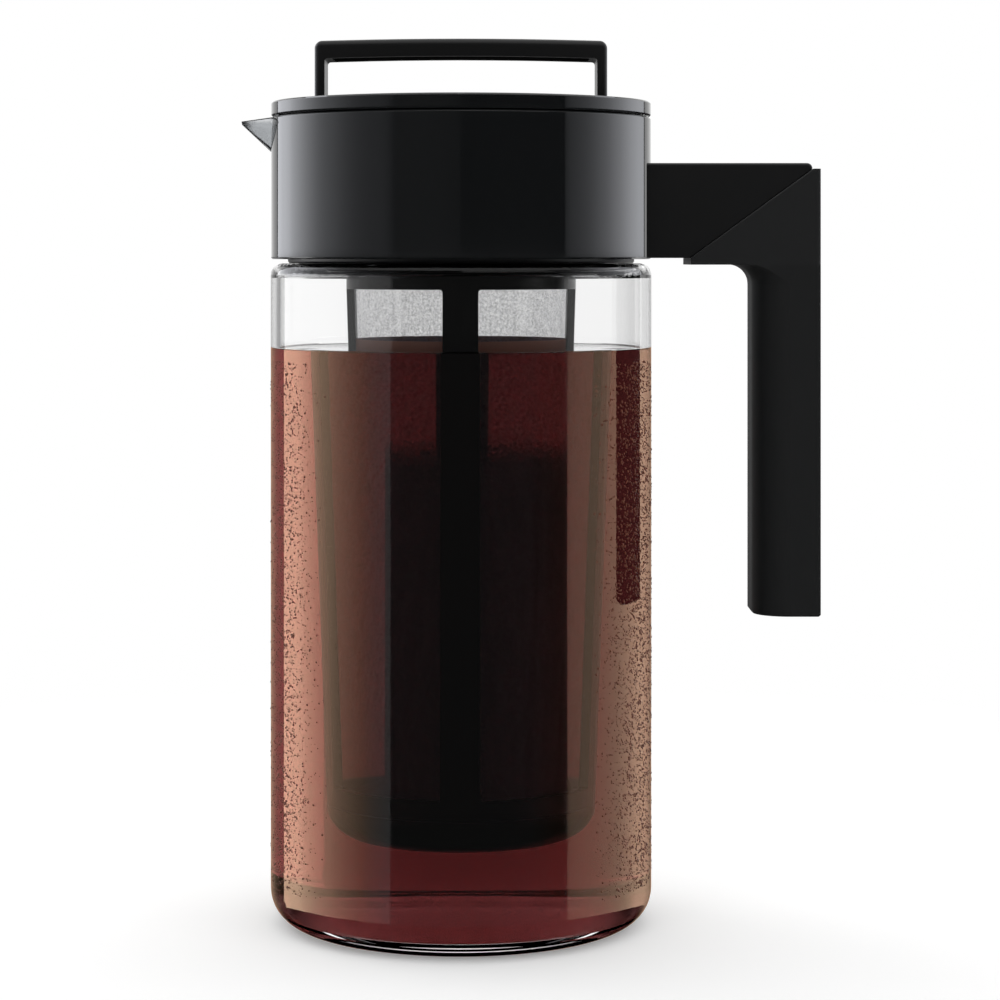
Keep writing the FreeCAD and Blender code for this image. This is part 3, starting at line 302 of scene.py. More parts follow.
wire_cloth, tree = new_material("woven_stainless_steel")
place = add(tree, "ShaderNodeTexCoord").outputs["Object"]
axes = add(tree, "ShaderNodeSeparateXYZ", {"Vector": place}).outputs
turns = add(tree, "ShaderNodeMath", {0: axes["Y"], 1: axes["X"]}, operation="ARCTAN2")
steps_round = round(2 * math.pi * MESH_RADIUS / WIRE_PITCH)
across = add(tree, "ShaderNodeMath", {0: turns, 1: steps_round / 2}, operation="MULTIPLY")
up = add(tree, "ShaderNodeMath", {0: axes["Z"], 1: math.pi / (WIRE_PITCH * MM)}, operation="MULTIPLY")
gaps, crests = [], []
for phase in (across, up):
    wave = add(tree, "ShaderNodeMath", {0: phase}, operation="SINE")
    gaps.append(add(tree, "ShaderNodeMath", {0: wave}, operation="ABSOLUTE"))
    crests.append(add(tree, "ShaderNodeMath", {0: phase}, operation="COSINE"))
nearest = add(tree, "ShaderNodeMath", {0: gaps[0], 1: gaps[1]}, operation="MINIMUM")
weave = add(tree, "ShaderNodeMath", {0: crests[0], 1: crests[1]}, operation="MULTIPLY")
bump = add(tree, "ShaderNodeBump", {"Height": weave, "Strength": 0.6, "Distance": WIRE_RELIEF * MM})
print(f"mesh drawn with {steps_round} wires round, {WIRE_PITCH} mm apart")

# %% [markdown]
# Crimped wires catch the light unevenly, so a fine noise makes the wires thick and dark in
# some places and thin and pale in others. Just above the coffee's edge the coffee has crept
# up into the holes, closed them and stained the mesh brown.

# %% The finish of the mesh
CRIMP_SIZE = 0.6
CRIMPS_LOW, CRIMPS_HIGH = 0.38, 0.6
THICK, THIN = 0.21, 0.06
STAINED_FROM, STAINED_TO = 147.3 * MM, 149.7 * MM
METALLIC = 0.4

crimps = add(tree, "ShaderNodeTexNoise", {"Vector": place, "Scale": 1 / (CRIMP_SIZE * MM), "Detail": 2.0})
uneven = {"Value": crimps, "From Min": CRIMPS_LOW, "From Max": CRIMPS_HIGH}
contrast = add(tree, "ShaderNodeMapRange", uneven)
bare = add(tree, "ShaderNodeMix", {"A": "#7e7e90", "B": "#eeeeff", "Factor": contrast}, data_type="RGBA")
thickness = add(tree, "ShaderNodeMapRange", {**uneven, "To Min": THICK, "To Max": THIN})
wire = add(tree, "ShaderNodeMath", {0: nearest, 1: thickness}, operation="LESS_THAN")
over = add(tree, "ShaderNodeMath", {0: axes["Z"], 1: STAINED_FROM}, operation="GREATER_THAN")
under = add(tree, "ShaderNodeMath", {0: axes["Z"], 1: STAINED_TO}, operation="LESS_THAN")
stained = add(tree, "ShaderNodeMath", {0: over, 1: under}, operation="MULTIPLY")
band = add(
    tree, "ShaderNodeMapRange", {"Value": axes["Z"], "From Min": STAINED_FROM, "From Max": STAINED_TO}
)
brown = add(tree, "ShaderNodeMix", {"A": "#a56a56", "B": "#c48c78", "Factor": band}, data_type="RGBA")
colour = add(tree, "ShaderNodeMix", {"A": bare, "B": brown, "Factor": stained}, data_type="RGBA")
clean = add(tree, "ShaderNodeMath", {0: 1, 1: stained}, operation="SUBTRACT")
metallic = add(tree, "ShaderNodeMath", {0: clean, 1: METALLIC}, operation="MULTIPLY")
closed = add(tree, "ShaderNodeMath", {0: wire, 1: stained}, operation="MAXIMUM")
shader = add(
    tree,
    "ShaderNodeBsdfPrincipled",
    {"Base Color": colour, "Metallic": metallic, "Roughness": 0.5, "Normal": bump, "Alpha": closed},
)
add(tree, "ShaderNodeOutputMaterial", {"Surface": shader})
print(f"stained from {STAINED_FROM / MM:.1f} to {STAINED_TO / MM:.1f} mm")

# %% [markdown]
# ## Dressing the pieces
#
# Each piece of the construction keeps its shape and place. Only the material in its slot
# changes.

# %% Dress the pieces
FINISHES = {
    borosilicate: ["carafe"],
    smoky_plastic: ["pour_liner"],
    lacquered_abs: ["collar_shell", "lid_cap"],
    satin_abs: ["handle_arm", "lid_strap", "lid_plug"],
    soft_touch: ["grip_sleeve"],
    polypropylene: ["neck_clamp_front", "neck_clamp_rear", "filter_frame", "filter_base"],
    silicone: ["neck_boot", "rim_pad", "grip_plug", "seal_band", "rim_seal", "filter_seal"],
    steel: ["handle_screws", "grip_screw"],
    brass: ["handle_inserts"],
    wire_cloth: ["filter_mesh"],
}
for material, names in FINISHES.items():
    for name in names:
        for slot in nodes[name].material_slots:
            slot.material = material
print(f"{sum(len(names) for names in FINISHES.values())} of {len(nodes)} pieces dressed")

# %% [markdown]
# ## The coffee
#
# Coffee takes the shape of the glass, so it is an outline turned about the axis. It reaches a
# tenth of a millimetre into the glass: light then goes straight from glass to coffee, with no
# air between them. At the glass its surface creeps up in a small curve, the meniscus.


# %% Helpers that put a mesh into the scene and turn an outline
def add_object(name, shape):
    """Put a finished mesh into the scene."""
    mesh = bpy.data.meshes.new(name)
    shape.to_mesh(mesh)
    shape.free()
    thing = bpy.data.objects.new(name, mesh)
    bpy.context.scene.collection.objects.link(thing)
    return thing


def turned(name, profile, steps):
    """A closed mesh from an outline of (radius, height) points in millimetres."""
    shape = bmesh.new()
    angles = [2 * math.pi * i / steps for i in range(steps)]
    rings = []
    for radius, height in profile:
        spots = [(radius * MM * math.cos(a), radius * MM * math.sin(a)) for a in angles]
        if radius == 0:
            spots = spots[:1]
        rings.append([shape.verts.new((x, y, height * MM)) for x, y in spots])
    for lower, upper in zip(rings, rings[1:]):
        for i in range(steps):
            j = (i + 1) % steps
            corners = [lower[i % len(lower)], lower[j % len(lower)]]
            corners += [upper[j % len(upper)], upper[i % len(upper)]]
            shape.faces.new(list(dict.fromkeys(corners)))
    bmesh.ops.recalc_face_normals(shape, faces=shape.faces)
    thing = add_object(name, shape)
    thing.data.shade_smooth()
    thing.data.set_sharp_from_angle(angle=math.radians(50))
    return thing


# %% The shape of the coffee
GLASS_FLOOR = 4.2
FLOOR_CORNER = 6.5
INTO_GLASS = 0.1

wall = GLASS_INSIDE + INTO_GLASS
middle = (GLASS_INSIDE - FLOOR_CORNER, GLASS_FLOOR + FLOOR_CORNER)
reach = FLOOR_CORNER + INTO_GLASS
bends = [math.radians(a) for a in range(-90, 1, 9)]
corner = [(middle[0] + reach * math.cos(a), middle[1] + reach * math.sin(a)) for a in bends]
bends = [math.radians(a) for a in (0, 22.5, 45, 67.5, 90)]
edge = [(wall - MENISCUS * (1 - math.cos(a)), COFFEE_LEVEL + MENISCUS * (1 - math.sin(a))) for a in bends]
coffee = turned("coffee", [(0, GLASS_FLOOR - INTO_GLASS), *corner, *edge, (0, COFFEE_LEVEL)], steps=96)
litres = math.pi * (GLASS_INSIDE / 100) ** 2 * (COFFEE_LEVEL - GLASS_FLOOR) / 100
print(f"coffee stands {COFFEE_LEVEL - GLASS_FLOOR:.0f} mm deep, {litres:.2f} litre")

# %% [markdown]
# Its colour isn't painted on its surface. It absorbs light on the way through, green and blue
# faster than red, which gives a deep red that pales where it is thin. Only its top bends
# and mirrors light as water does: its sides lie in the glass, which does that already.

# %% The colour of the coffee
ABSORBED = (31.0, 54.0, 54.0)  # per metre: red, green, blue
LEVEL_ENOUGH = 0.2
UPPER_PART = 100.0

material, tree = new_material("brewed_coffee")
place = add(tree, "ShaderNodeTexCoord").outputs["Object"]
height = add(tree, "ShaderNodeSeparateXYZ", {"Vector": place}).outputs["Z"]
normal = add(tree, "ShaderNodeNewGeometry").outputs["True Normal"]
facing = add(tree, "ShaderNodeSeparateXYZ", {"Vector": normal}).outputs["Z"]
upright = add(tree, "ShaderNodeMath", {0: facing}, operation="ABSOLUTE")
level = add(tree, "ShaderNodeMath", {0: upright, 1: LEVEL_ENOUGH}, operation="GREATER_THAN")
high_up = add(tree, "ShaderNodeMath", {0: height, 1: UPPER_PART * MM}, operation="GREATER_THAN")
on_top = add(tree, "ShaderNodeMath", {0: level, 1: high_up}, operation="MULTIPLY")
surface = add(
    tree,
    "ShaderNodeBsdfPrincipled",
    {"Base Color": "#ffffff", "IOR": COFFEE_IOR, "Roughness": 0.0, "Transmission Weight": 1.0},
)
passing = add(tree, "ShaderNodeBsdfTransparent", {"Color": "#ffffff"})
skin = add(tree, "ShaderNodeMixShader", {"Fac": on_top, 1: passing, 2: surface})
strongest = max(ABSORBED)
spared = tuple(1 - a / strongest for a in ABSORBED) + (1.0,)
depth = add(tree, "ShaderNodeVolumeAbsorption", {"Color": spared, "Density": strongest})
add(tree, "ShaderNodeOutputMaterial", {"Surface": skin, "Volume": depth})
coffee.data.materials.append(material)
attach(coffee, "jug")
print(f"{material.name} absorbs {ABSORBED} per metre")

# %% [markdown]
# ## The film on top
#
# Inside the filter a thin brown film of oils and fine foam floats on the coffee. Seen almost
# edge-on it hides what is under it, so it is a flat, dull disc, a little patchy.

# %% The film on the coffee
FILM_RADIUS = 26.2
FILM_THICK = 0.3
PATCH_SIZE = 5.0

top = COFFEE_LEVEL + FILM_THICK
outline = [(0, COFFEE_LEVEL), (FILM_RADIUS, COFFEE_LEVEL), (FILM_RADIUS, top), (0, top)]
film = turned("film", outline, steps=72)
material, tree = new_material("coffee_film")
place = add(tree, "ShaderNodeTexCoord").outputs["Object"]
patches = add(tree, "ShaderNodeTexNoise", {"Vector": place, "Scale": 1 / (PATCH_SIZE * MM), "Detail": 4.0})
tint = add(tree, "ShaderNodeMix", {"A": "#8a4434", "B": "#b46a50", "Factor": patches}, data_type="RGBA")
shader = add(
    tree, "ShaderNodeBsdfPrincipled", {"Base Color": tint, "Roughness": 0.8, "Specular IOR Level": 0.1}
)
add(tree, "ShaderNodeOutputMaterial", {"Surface": shader})
film.data.materials.append(material)
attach(film, "jug")
print(f"film laid, {FILM_THICK} mm thick")

# %% [markdown]
# ## The grounds
#
# Inside the filter the wet grounds stand in a column, nearly black. It fills the filter's foot
# and leans a little towards the handle, with a sleeve of clear coffee round it.

# %% The column of grounds
GROUNDS_TOP = 125.0
CORE = 17.6
FOOT_TOP = 36.0
LEAN = 2.9

foot = [(0, 24.6), (14.5, 24.6), (21.2, 31.2), (21.4, 34.2)]
column = [(CORE, 38.0), (CORE, GROUNDS_TOP - 1), (0, GROUNDS_TOP)]
grounds = turned("grounds", foot + column, steps=72)
for vertex in grounds.data.vertices:
    if vertex.co.z > FOOT_TOP * MM:
        vertex.co.x += LEAN * MM
print(f"grounds up to {GROUNDS_TOP:.0f} mm")

# %% [markdown]
# The top of the grounds isn't a sharp surface: loose grains float above it and thin out. Space
# is cut into little cubes, each with a random number, and a cube shows where its number is
# above a share that grows with its height.

# %% The grains
SOLID_UP_TO = 116.0
GRAIN_SIZE, GRAIN_DEPTH = 0.9, 0.3
LOOSE_GRAIN = 0.2

material, tree = new_material("wet_coffee_grounds")
place = add(tree, "ShaderNodeTexCoord").outputs["Object"]
height = add(tree, "ShaderNodeSeparateXYZ", {"Vector": place}).outputs["Z"]
grains = add(tree, "ShaderNodeTexVoronoi", {"Vector": place, "Scale": 1 / (GRAIN_SIZE * MM)})
bump = add(tree, "ShaderNodeBump", {"Height": grains, "Strength": 1.0, "Distance": GRAIN_DEPTH * MM})
tint = add(tree, "ShaderNodeMix", {"A": "#050404", "B": "#0d0a09", "Factor": grains}, data_type="RGBA")
cubes = add(tree, "ShaderNodeVectorMath", {0: place, 1: (LOOSE_GRAIN * MM,) * 3}, operation="SNAP")
loose = add(tree, "ShaderNodeTexWhiteNoise", {"Vector": cubes})
thinning = add(
    tree, "ShaderNodeMapRange", {"Value": height, "From Min": SOLID_UP_TO * MM, "From Max": GROUNDS_TOP * MM}
)
shown = add(tree, "ShaderNodeMath", {0: loose, 1: thinning}, operation="GREATER_THAN")
shader = add(
    tree, "ShaderNodeBsdfPrincipled", {"Base Color": tint, "Roughness": 0.6, "Normal": bump, "Alpha": shown}
)
add(tree, "ShaderNodeOutputMaterial", {"Surface": shader})
grounds.data.materials.append(material)
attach(grounds, "filter")
print(f"grains thin out from {SOLID_UP_TO:.0f} mm")

# %% [markdown]
# ## Condensation
#
# The cold glass is misted with small beads of water below the coffee's level, most of them at
# the sides. Each bead is a low dome that sits in the glass's surface. It sends the light that
# reaches it off to the side, so from the front it is a dark dot on the bright edges of the
# glass, and that is how it is drawn. They are all one mesh, scattered by a seeded random
# generator, so every run gives the same beads.

# %% One bead
GLASS_OUTSIDE = 49.0
BEAD_SIDES = 6
BEAD_RINGS = ((1.0, -0.05), (0.75, 0.4))  # how wide and how far out, in shares of its size
BEAD_TIP = 0.62


def bead(shape, turn, height, size):
    """A low dome on the glass, its rim a little below the surface."""
    out = (math.cos(turn), math.sin(turn))
    along = (-math.sin(turn), math.cos(turn))
    rings = []
    for spread, rise in BEAD_RINGS:
        ring = []
        for i in range(BEAD_SIDES):
            a = 2 * math.pi * i / BEAD_SIDES
            side, up = size * spread * math.cos(a), size * spread * math.sin(a)
            reach = GLASS_OUTSIDE + size * rise
            x = out[0] * reach + along[0] * side
            y = out[1] * reach + along[1] * side
            ring.append(shape.verts.new((x * MM, y * MM, (height + up) * MM)))
        rings.append(ring)
    reach = GLASS_OUTSIDE + size * BEAD_TIP
    tip = shape.verts.new((out[0] * reach * MM, out[1] * reach * MM, height * MM))
    for lower, upper in zip(rings, rings[1:]):
        for i in range(BEAD_SIDES):
            j = (i + 1) % BEAD_SIDES
            shape.faces.new([lower[i], lower[j], upper[j], upper[i]])
    for i in range(BEAD_SIDES):
        shape.faces.new([rings[-1][i], rings[-1][(i + 1) % BEAD_SIDES], tip])
    shape.faces.new(list(reversed(rings[0])))


# %% All the beads
ZONES = ((0, 9000, 26, 10), (math.pi, 5500, 27, 8))  # side, how many, usual angle, its variation
WIDEST_ANGLE = 48
LOWEST, BELOW_EDGE = 12, 3
USUAL_SIZE, LARGEST, VARIATION = 0.2, 0.34, 0.28

scatter = random.Random(11)
shape = bmesh.new()
beads = 0
for side, count, usual_angle, angle_variation in ZONES:
    for _ in range(count):
        spread = abs(scatter.gauss(usual_angle, angle_variation))
        if spread > WIDEST_ANGLE:
            continue
        turn = math.radians(spread * scatter.choice((-1, 1))) + side
        height = scatter.uniform(LOWEST, COFFEE_LEVEL - BELOW_EDGE)
        bead(shape, turn, height, min(LARGEST, scatter.lognormvariate(math.log(USUAL_SIZE), VARIATION)))
        beads += 1
condensation = add_object("condensation", shape)
condensation.data.shade_smooth()
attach(condensation, "jug")
print(f"{beads} beads, {len(condensation.data.polygons)} faces")

# %% The look of the beads
BEAD_IOR = 1.33
SPOT_SIZE = 1.5

material, tree = new_material("water_beads")
place = add(tree, "ShaderNodeTexCoord").outputs["Object"]
spots = add(tree, "ShaderNodeTexNoise", {"Vector": place, "Scale": 1 / (SPOT_SIZE * MM), "Detail": 1.0})
tint = add(tree, "ShaderNodeMix", {"A": "#5a3020", "B": "#7d4c38", "Factor": spots}, data_type="RGBA")
shader = add(tree, "ShaderNodeBsdfPrincipled", {"Base Color": tint, "IOR": BEAD_IOR, "Roughness": 0.3})
add(tree, "ShaderNodeOutputMaterial", {"Surface": shader})
condensation.data.materials.append(material)
print(f"{material.name} drawn dark")

# %% [markdown]
# ## The studio
#
# Tall curved scrims stand left and right of the object. They start well beside the camera, so
# the middle of the glossy collar mirrors nothing and stays black, and they grow brighter
# towards the back, so its sides fade up to grey. Each side has three scrims, one over the
# other. Seen from the camera's height, the collar mirrors only the high one, the empty glass
# the middle one and the coffee the low one, so each can have the levels that its own mirror
# needs. The high ones are a touch cool to mirrors alone. A gap at the left's far end leaves a
# dark line down the glass's edge. What shines through the glass from behind has a level of
# its own.


# %% Where a point stands round the object
def angle_from_camera_side(tree, coordinate):
    """The angle round the object, 0 towards the camera's side and pi behind."""
    place = add(tree, "ShaderNodeTexCoord").outputs[coordinate]
    axes = add(tree, "ShaderNodeSeparateXYZ", {"Vector": place}).outputs
    away = add(tree, "ShaderNodeMath", {0: axes["Y"], 1: -1.0}, operation="MULTIPLY")
    across = add(tree, "ShaderNodeMath", {0: axes["X"]}, operation="ABSOLUTE")
    return add(tree, "ShaderNodeMath", {0: across, 1: away}, operation="ARCTAN2")


# %% The light of a scrim
def scrim_light(name, levels, through, tint, plain_share):
    """Emission that follows levels, pairs of (angle from the camera's side, brightness)."""
    material, tree = new_material(name)
    start, end = levels[0][0], levels[-1][0]
    angle = angle_from_camera_side(tree, "Object")
    ends = {"From Min": math.radians(start), "From Max": math.radians(end)}
    share = add(tree, "ShaderNodeMapRange", {"Value": angle, **ends})
    ramp = add(tree, "ShaderNodeFloatCurve", {"Value": share})
    curve = ramp.mapping.curves[0]
    top = max(level for _, level in levels)
    points = [((a - start) / (end - start), level / top) for a, level in levels]
    curve.points[0].location = points[0]
    curve.points[-1].location = points[-1]
    for point in points[1:-1]:
        curve.points.new(*point)
    ramp.mapping.update()
    rays = add(tree, "ShaderNodeLightPath").outputs
    mirrored, passed = rays["Is Glossy Ray"], rays["Is Transmission Ray"]
    peak = add(
        tree, "ShaderNodeMix", {"A": top * plain_share, "B": top, "Factor": mirrored}, data_type="FLOAT"
    )
    strength = add(tree, "ShaderNodeMath", {0: ramp, 1: peak}, operation="MULTIPLY")
    strength = add(tree, "ShaderNodeMix", {"A": strength, "B": through, "Factor": passed}, data_type="FLOAT")
    colour = add(tree, "ShaderNodeMix", {"A": "#ffffff", "B": tint, "Factor": mirrored}, data_type="RGBA")
    light = add(tree, "ShaderNodeEmission", {"Strength": strength, "Color": colour})
    add(tree, "ShaderNodeOutputMaterial", {"Surface": light})
    return material


# %% A scrim
SCRIM_REACH = 1.1
SCRIM_STEPS = 32


def scrim(name, side, heights, levels, through, tint="#ffffff", plain_share=1.0):
    """A curved screen. through is its brightness behind clear things, and plain_share is the
    share of its levels that reaches everything but mirrors."""
    start, end = levels[0][0], levels[-1][0]
    shape = bmesh.new()
    rows = []
    for i in range(SCRIM_STEPS + 1):
        a = math.radians(start + (end - start) * i / SCRIM_STEPS)
        x, y = side * SCRIM_REACH * math.sin(a), -SCRIM_REACH * math.cos(a)
        rows.append([shape.verts.new((x, y, z)) for z in heights])
    for a, b in zip(rows, rows[1:]):
        shape.faces.new([a[0], b[0], b[1], a[1]])
    screen = add_object(name, shape)
    screen.data.materials.append(scrim_light(name + "_light", levels, through, tint, plain_share))
    screen.visible_camera = False


# %% The levels of the left scrims
LEFT, RIGHT = -1, 1
GROUND, MIDDLE_FROM, HIGH_FROM, HIGH_TO = -0.35, 113 * MM, 168 * MM, 1.3
LOW, MIDDLE, HIGH = (GROUND, MIDDLE_FROM), (MIDDLE_FROM, HIGH_FROM), (HIGH_FROM, HIGH_TO)
COOL = "#f7f9ff"
LEFT_FRONT = [(0, 0.018), (20, 0.028), (38, 0.03)]
LOW_FRONT = [(0, 0.085), (41, 0.085), (65, 0.085)]
LEFT_HIGH = [(38, 0.03), (46, 0.11), (54, 0.13), (62, 0.17), (70, 0.25), (79, 0.39), (89, 0.58),
             (100, 1.0), (112, 1.57), (119, 1.86), (127, 2.16), (133, 2.07), (143, 2.0)]
LEFT_MIDDLE = [(41, 0.4), (60, 0.8), (80, 1.5), (100, 2.0), (120, 2.2), (130, 2.2)]
LEFT_LOW = [(41, 0.5), (50, 0.63), (57, 0.9), (65, 1.4), (71, 1.8), (77, 2.25), (83, 2.95),
            (90, 3.4), (97, 4.0), (105, 4.7), (112, 5.1), (119, 4.4), (127, 3.7), (131, 3.4)]
LEFT_GAP = [(131, 0.08), (140, 0.12), (150, 0.3)]
print(f"left: up to {max(level for _, level in LEFT_LOW)} beside the coffee")

# %% The levels of the right scrims
RIGHT_HIGH = [(63.5, 0.08), (68, 0.17), (72, 0.21), (80, 0.31), (88, 0.47), (97, 0.69), (103, 0.9),
              (110, 1.1), (116, 1.28), (124, 1.41), (132, 1.38), (139, 1.2), (143, 1.1)]
RIGHT_MIDDLE = [(65, 0.5), (80, 0.8), (100, 1.1), (125, 1.3), (140, 0.9), (150, 0.2)]
RIGHT_LOW = [(65, 1.0), (70, 1.35), (77, 1.5), (84, 1.6), (91, 1.7), (97, 1.85), (105, 2.1),
             (114, 2.35), (121, 2.4), (130, 2.3), (137, 1.9), (142, 1.55), (149, 1.0), (158, 0.6)]
print(f"right: up to {max(level for _, level in RIGHT_LOW)} beside the coffee")

# %% The scrims
scrim("left_front_scrim", LEFT, HIGH, LEFT_FRONT, through=0.1, plain_share=33)
scrim("left_low_front_scrim", LEFT, LOW, LOW_FRONT[:2], through=0.1, plain_share=12)
scrim("right_low_front_scrim", RIGHT, LOW, LOW_FRONT, through=0.1, plain_share=12)
scrim("left_high_scrim", LEFT, HIGH, LEFT_HIGH, through=0.4, tint=COOL)
scrim("left_middle_scrim", LEFT, MIDDLE, LEFT_MIDDLE, through=0.4, plain_share=0.7)
scrim("left_low_scrim", LEFT, LOW, LEFT_LOW, through=0.6, plain_share=0.4)
scrim("left_gap", LEFT, (GROUND, HIGH_FROM), LEFT_GAP, through=0.4, plain_share=8)
scrim("right_high_scrim", RIGHT, HIGH, RIGHT_HIGH, through=0.5, tint=COOL)
scrim("right_middle_scrim", RIGHT, MIDDLE, RIGHT_MIDDLE, through=0.7)
scrim("right_low_scrim", RIGHT, LOW, RIGHT_LOW, through=1.9, plain_share=0.5)
print("scrims, bright towards the back")

# %% [markdown]
# Seen from above, the glossy collar would mirror the bright lower screens as broad pale bands.
# A thin grey sheet level with the collar's lower edge hides them. It shows only in mirrors,
# and only from its upper side, so the glass below it keeps its lit edges.

# %% The shape of the sheet for the collar's mirror
SHEET_HEIGHT = 169.8 * MM
SHEET_INSIDE, SHEET_OUTSIDE = 0.05, 1.05
SHEET_SIDES = 64

shape = bmesh.new()
turns = [2 * math.pi * i / SHEET_SIDES for i in range(SHEET_SIDES)]
rings = []
for reach in (SHEET_INSIDE, SHEET_OUTSIDE):
    rings.append([shape.verts.new((reach * math.cos(a), reach * math.sin(a), SHEET_HEIGHT)) for a in turns])
for i in range(SHEET_SIDES):
    j = (i + 1) % SHEET_SIDES
    shape.faces.new([rings[0][i], rings[1][i], rings[1][j], rings[0][j]])
sheet = add_object("mirror_sheet", shape)
sheet.visible_camera = False
sheet.visible_shadow = False
print(f"sheet {SHEET_HEIGHT / MM:.1f} mm up")

# %% Its grey, seen only in mirrors and from above
SHEET_GREY = 0.15

material, tree = new_material("grey_mirror_sheet")
place = add(tree, "ShaderNodeTexCoord").outputs["Object"]
flat = add(tree, "ShaderNodeVectorMath", {0: place, 1: (1.0, 1.0, 0.0)}, operation="MULTIPLY")
reach = add(tree, "ShaderNodeVectorMath", {0: flat}, operation="LENGTH")
ends = {"From Min": SHEET_INSIDE, "From Max": SHEET_OUTSIDE, "To Min": 0.0, "To Max": SHEET_GREY}
grey = add(tree, "ShaderNodeMapRange", {"Value": reach, **ends})
back_face = add(tree, "ShaderNodeNewGeometry").outputs["Backfacing"]
from_above = add(tree, "ShaderNodeMath", {0: 1, 1: back_face}, operation="SUBTRACT")
mirrored = add(tree, "ShaderNodeLightPath").outputs["Is Glossy Ray"]
seen = add(tree, "ShaderNodeMath", {0: from_above, 1: mirrored}, operation="MULTIPLY")
nothing = add(tree, "ShaderNodeBsdfTransparent", {"Color": "#ffffff"})
light = add(tree, "ShaderNodeEmission", {"Color": "#ffffff", "Strength": grey})
shown = add(tree, "ShaderNodeMixShader", {"Fac": seen, 1: nothing, 2: light})
add(tree, "ShaderNodeOutputMaterial", {"Surface": shown})
sheet.data.materials.append(material)
print(f"{material.name} up to {SHEET_GREY}")

# %% [markdown]
# Glass mirrors the grip as one clean dark strip. The glossy collar would mirror the whole
# handle too, which doubles the outline of the joint, so product pictures keep it out: the
# handle is left out of mirrors, and a black flag of the grip's own size stands in for it
# below the collar.

# %% The black flag
HANDLE = ("handle_arm", "handle_screws", "handle_inserts", "grip_sleeve", "grip_screw", "grip_plug")
FLAG_FRONT = 76 * MM
FLAG_TOP = 168.8 * MM

for name in HANDLE:
    nodes[name].visible_glossy = False
grip_low, grip_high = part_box("grip_sleeve")
shape = bmesh.new()
bmesh.ops.create_cube(shape, size=1.0)
for vertex in shape.verts:
    vertex.co.x = FLAG_FRONT if vertex.co.x < 0 else grip_high[0]
    vertex.co.y = grip_low[1] if vertex.co.y < 0 else grip_high[1]
    vertex.co.z = grip_low[2] if vertex.co.z < 0 else FLAG_TOP
flag = add_object("flag", shape)
material, tree = new_material("black_flag")
cloth = add(tree, "ShaderNodeBsdfDiffuse", {"Color": "#0c0c0c"})
add(tree, "ShaderNodeOutputMaterial", {"Surface": cloth})
flag.data.materials.append(material)
flag.visible_camera = False
flag.visible_diffuse = False
flag.visible_transmission = False
flag.visible_shadow = False
print("flag stands in for the grip")

# %% [markdown]
# ## The room
#
# The room is white to the camera, and glass and gloss see it white behind the object. In
# front it is dimmer, as a real studio is, with a soft light overhead. A mirror sees the wall
# a little dimmer below the horizon, and nothing below the floor.

# %% What a mirror sees of the room
BACK_WALL, FULL_WHITE, WALL_START = math.radians(147), math.radians(168), 0.55
CEILING_FROM, CEILING_FULL, OVERHEAD = 0.35, 0.8, 0.7
GROUND_FROM, GROUND_FULL = -0.42, -0.26
HORIZON_FROM, HORIZON_FULL, BELOW_HORIZON = -0.008, -0.002, 0.5

world = bpy.data.worlds.new("studio")
bpy.context.scene.world = world
world.use_nodes = True
tree = world.node_tree
tree.nodes.clear()
path = add(tree, "ShaderNodeLightPath").outputs
angle = angle_from_camera_side(tree, "Generated")
place = add(tree, "ShaderNodeTexCoord").outputs["Generated"]
height = add(tree, "ShaderNodeSeparateXYZ", {"Vector": place}).outputs["Z"]

is_back = add(tree, "ShaderNodeMath", {0: angle, 1: BACK_WALL}, operation="GREATER_THAN")
ends = {"From Min": BACK_WALL, "From Max": FULL_WHITE, "To Min": WALL_START, "To Max": 1.0}
wall_level = add(tree, "ShaderNodeMapRange", {"Value": angle, **ends})
back = add(tree, "ShaderNodeMath", {0: is_back, 1: wall_level}, operation="MULTIPLY")
ends = {"From Min": CEILING_FROM, "From Max": CEILING_FULL, "To Max": OVERHEAD}
ceiling = add(tree, "ShaderNodeMapRange", {"Value": height, **ends}, interpolation_type="SMOOTHSTEP")
mirrored = add(tree, "ShaderNodeMath", {0: back, 1: ceiling}, operation="MAXIMUM")
ends = {"From Min": GROUND_FROM, "From Max": GROUND_FULL}
above_ground = add(tree, "ShaderNodeMapRange", {"Value": height, **ends}, interpolation_type="SMOOTHSTEP")
ends = {"From Min": HORIZON_FROM, "From Max": HORIZON_FULL, "To Min": BELOW_HORIZON}
lower_wall = add(tree, "ShaderNodeMapRange", {"Value": height, **ends})
reflected = add(tree, "ShaderNodeMath", {0: mirrored, 1: above_ground}, operation="MULTIPLY")
reflected = add(tree, "ShaderNodeMath", {0: reflected, 1: lower_wall}, operation="MULTIPLY")
print(f"wall white to mirrors from {math.degrees(FULL_WHITE):.0f} degrees")

# %% [markdown]
# Light Path tells each kind of ray what to see: mirrors and clear things see the room above,
# the camera sees plain white, and everything else is lit evenly from all around.

# %% The room for each kind of ray
FAR_SIDE_FROM, FAR_SIDE_FULL, THROUGH_FRONT = math.radians(140), math.radians(162), 0.1
AROUND = 1.0
TO_CAMERA = 1.0

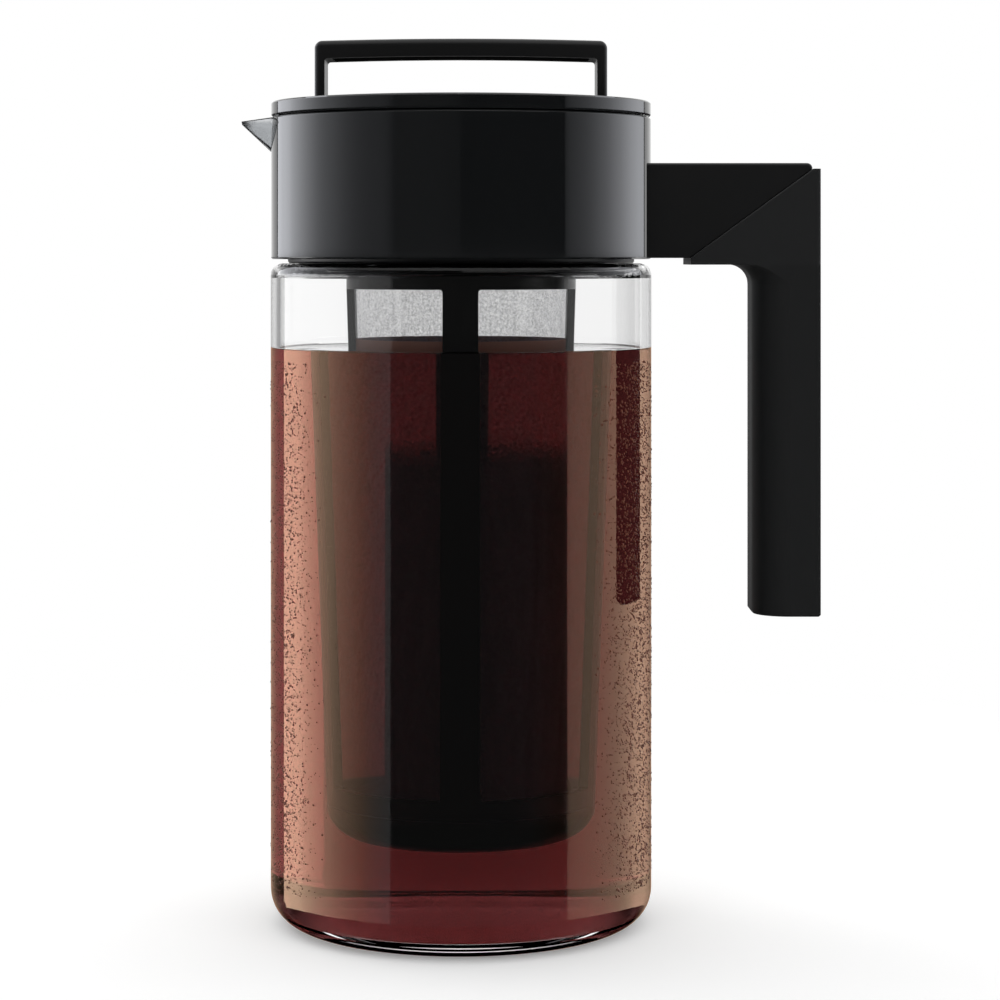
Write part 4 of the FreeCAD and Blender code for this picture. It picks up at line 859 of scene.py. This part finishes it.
ends = {"From Min": FAR_SIDE_FROM, "From Max": FAR_SIDE_FULL, "To Min": THROUGH_FRONT}
far_side = add(tree, "ShaderNodeMapRange", {"Value": angle, **ends}, interpolation_type="SMOOTHSTEP")
shining_through = add(tree, "ShaderNodeMath", {0: far_side, 1: above_ground}, operation="MULTIPLY")
level = AROUND
for ray, amount in (
    ("Is Glossy Ray", reflected),
    ("Is Transmission Ray", shining_through),
    ("Is Camera Ray", TO_CAMERA),
):
    level = add(tree, "ShaderNodeMix", {"A": level, "B": amount, "Factor": path[ray]}, data_type="FLOAT")
background = add(tree, "ShaderNodeBackground", {"Color": "#ffffff", "Strength": level})
add(tree, "ShaderNodeOutputWorld", {"Surface": background})
print("the room is white to the camera")

# %% [markdown]
# ## The floor
#
# The floor is a white disc that fades into the wall and keeps the object's soft shadow. A
# little emission, for the camera alone, lifts it to the white of the wall.

# %% The floor
FLOOR_REACH, FLOOR_SIDES = 0.42, 96
FADE_START = 0.1
FLOOR_LIFT = 0.25

shape = bmesh.new()
bmesh.ops.create_circle(shape, cap_ends=True, segments=FLOOR_SIDES, radius=FLOOR_REACH)
floor = add_object("floor", shape)
material, tree = new_material("white_floor")
place = add(tree, "ShaderNodeTexCoord").outputs["Object"]
distance = add(tree, "ShaderNodeVectorMath", {0: place}, operation="LENGTH")
ends = {"From Min": FADE_START, "From Max": FLOOR_REACH, "To Min": 1.0, "To Max": 0.0}
solid = add(tree, "ShaderNodeMapRange", {"Value": distance, **ends}, interpolation_type="SMOOTHSTEP")
paint = add(tree, "ShaderNodeBsdfDiffuse", {"Color": "#f7f7f7"})
to_camera = add(tree, "ShaderNodeLightPath").outputs["Is Camera Ray"]
lift = add(tree, "ShaderNodeMath", {0: to_camera, 1: FLOOR_LIFT}, operation="MULTIPLY")
shine = add(tree, "ShaderNodeEmission", {"Color": "#ffffff", "Strength": lift})
white = add(tree, "ShaderNodeAddShader", {0: paint, 1: shine})
nothing = add(tree, "ShaderNodeBsdfTransparent", {"Color": "#ffffff"})
faded = add(tree, "ShaderNodeMixShader", {"Fac": solid, 1: nothing, 2: white})
add(tree, "ShaderNodeOutputMaterial", {"Surface": faded})
floor.data.materials.append(material)
floor.visible_glossy = False
floor.visible_transmission = False
print("floor ready")
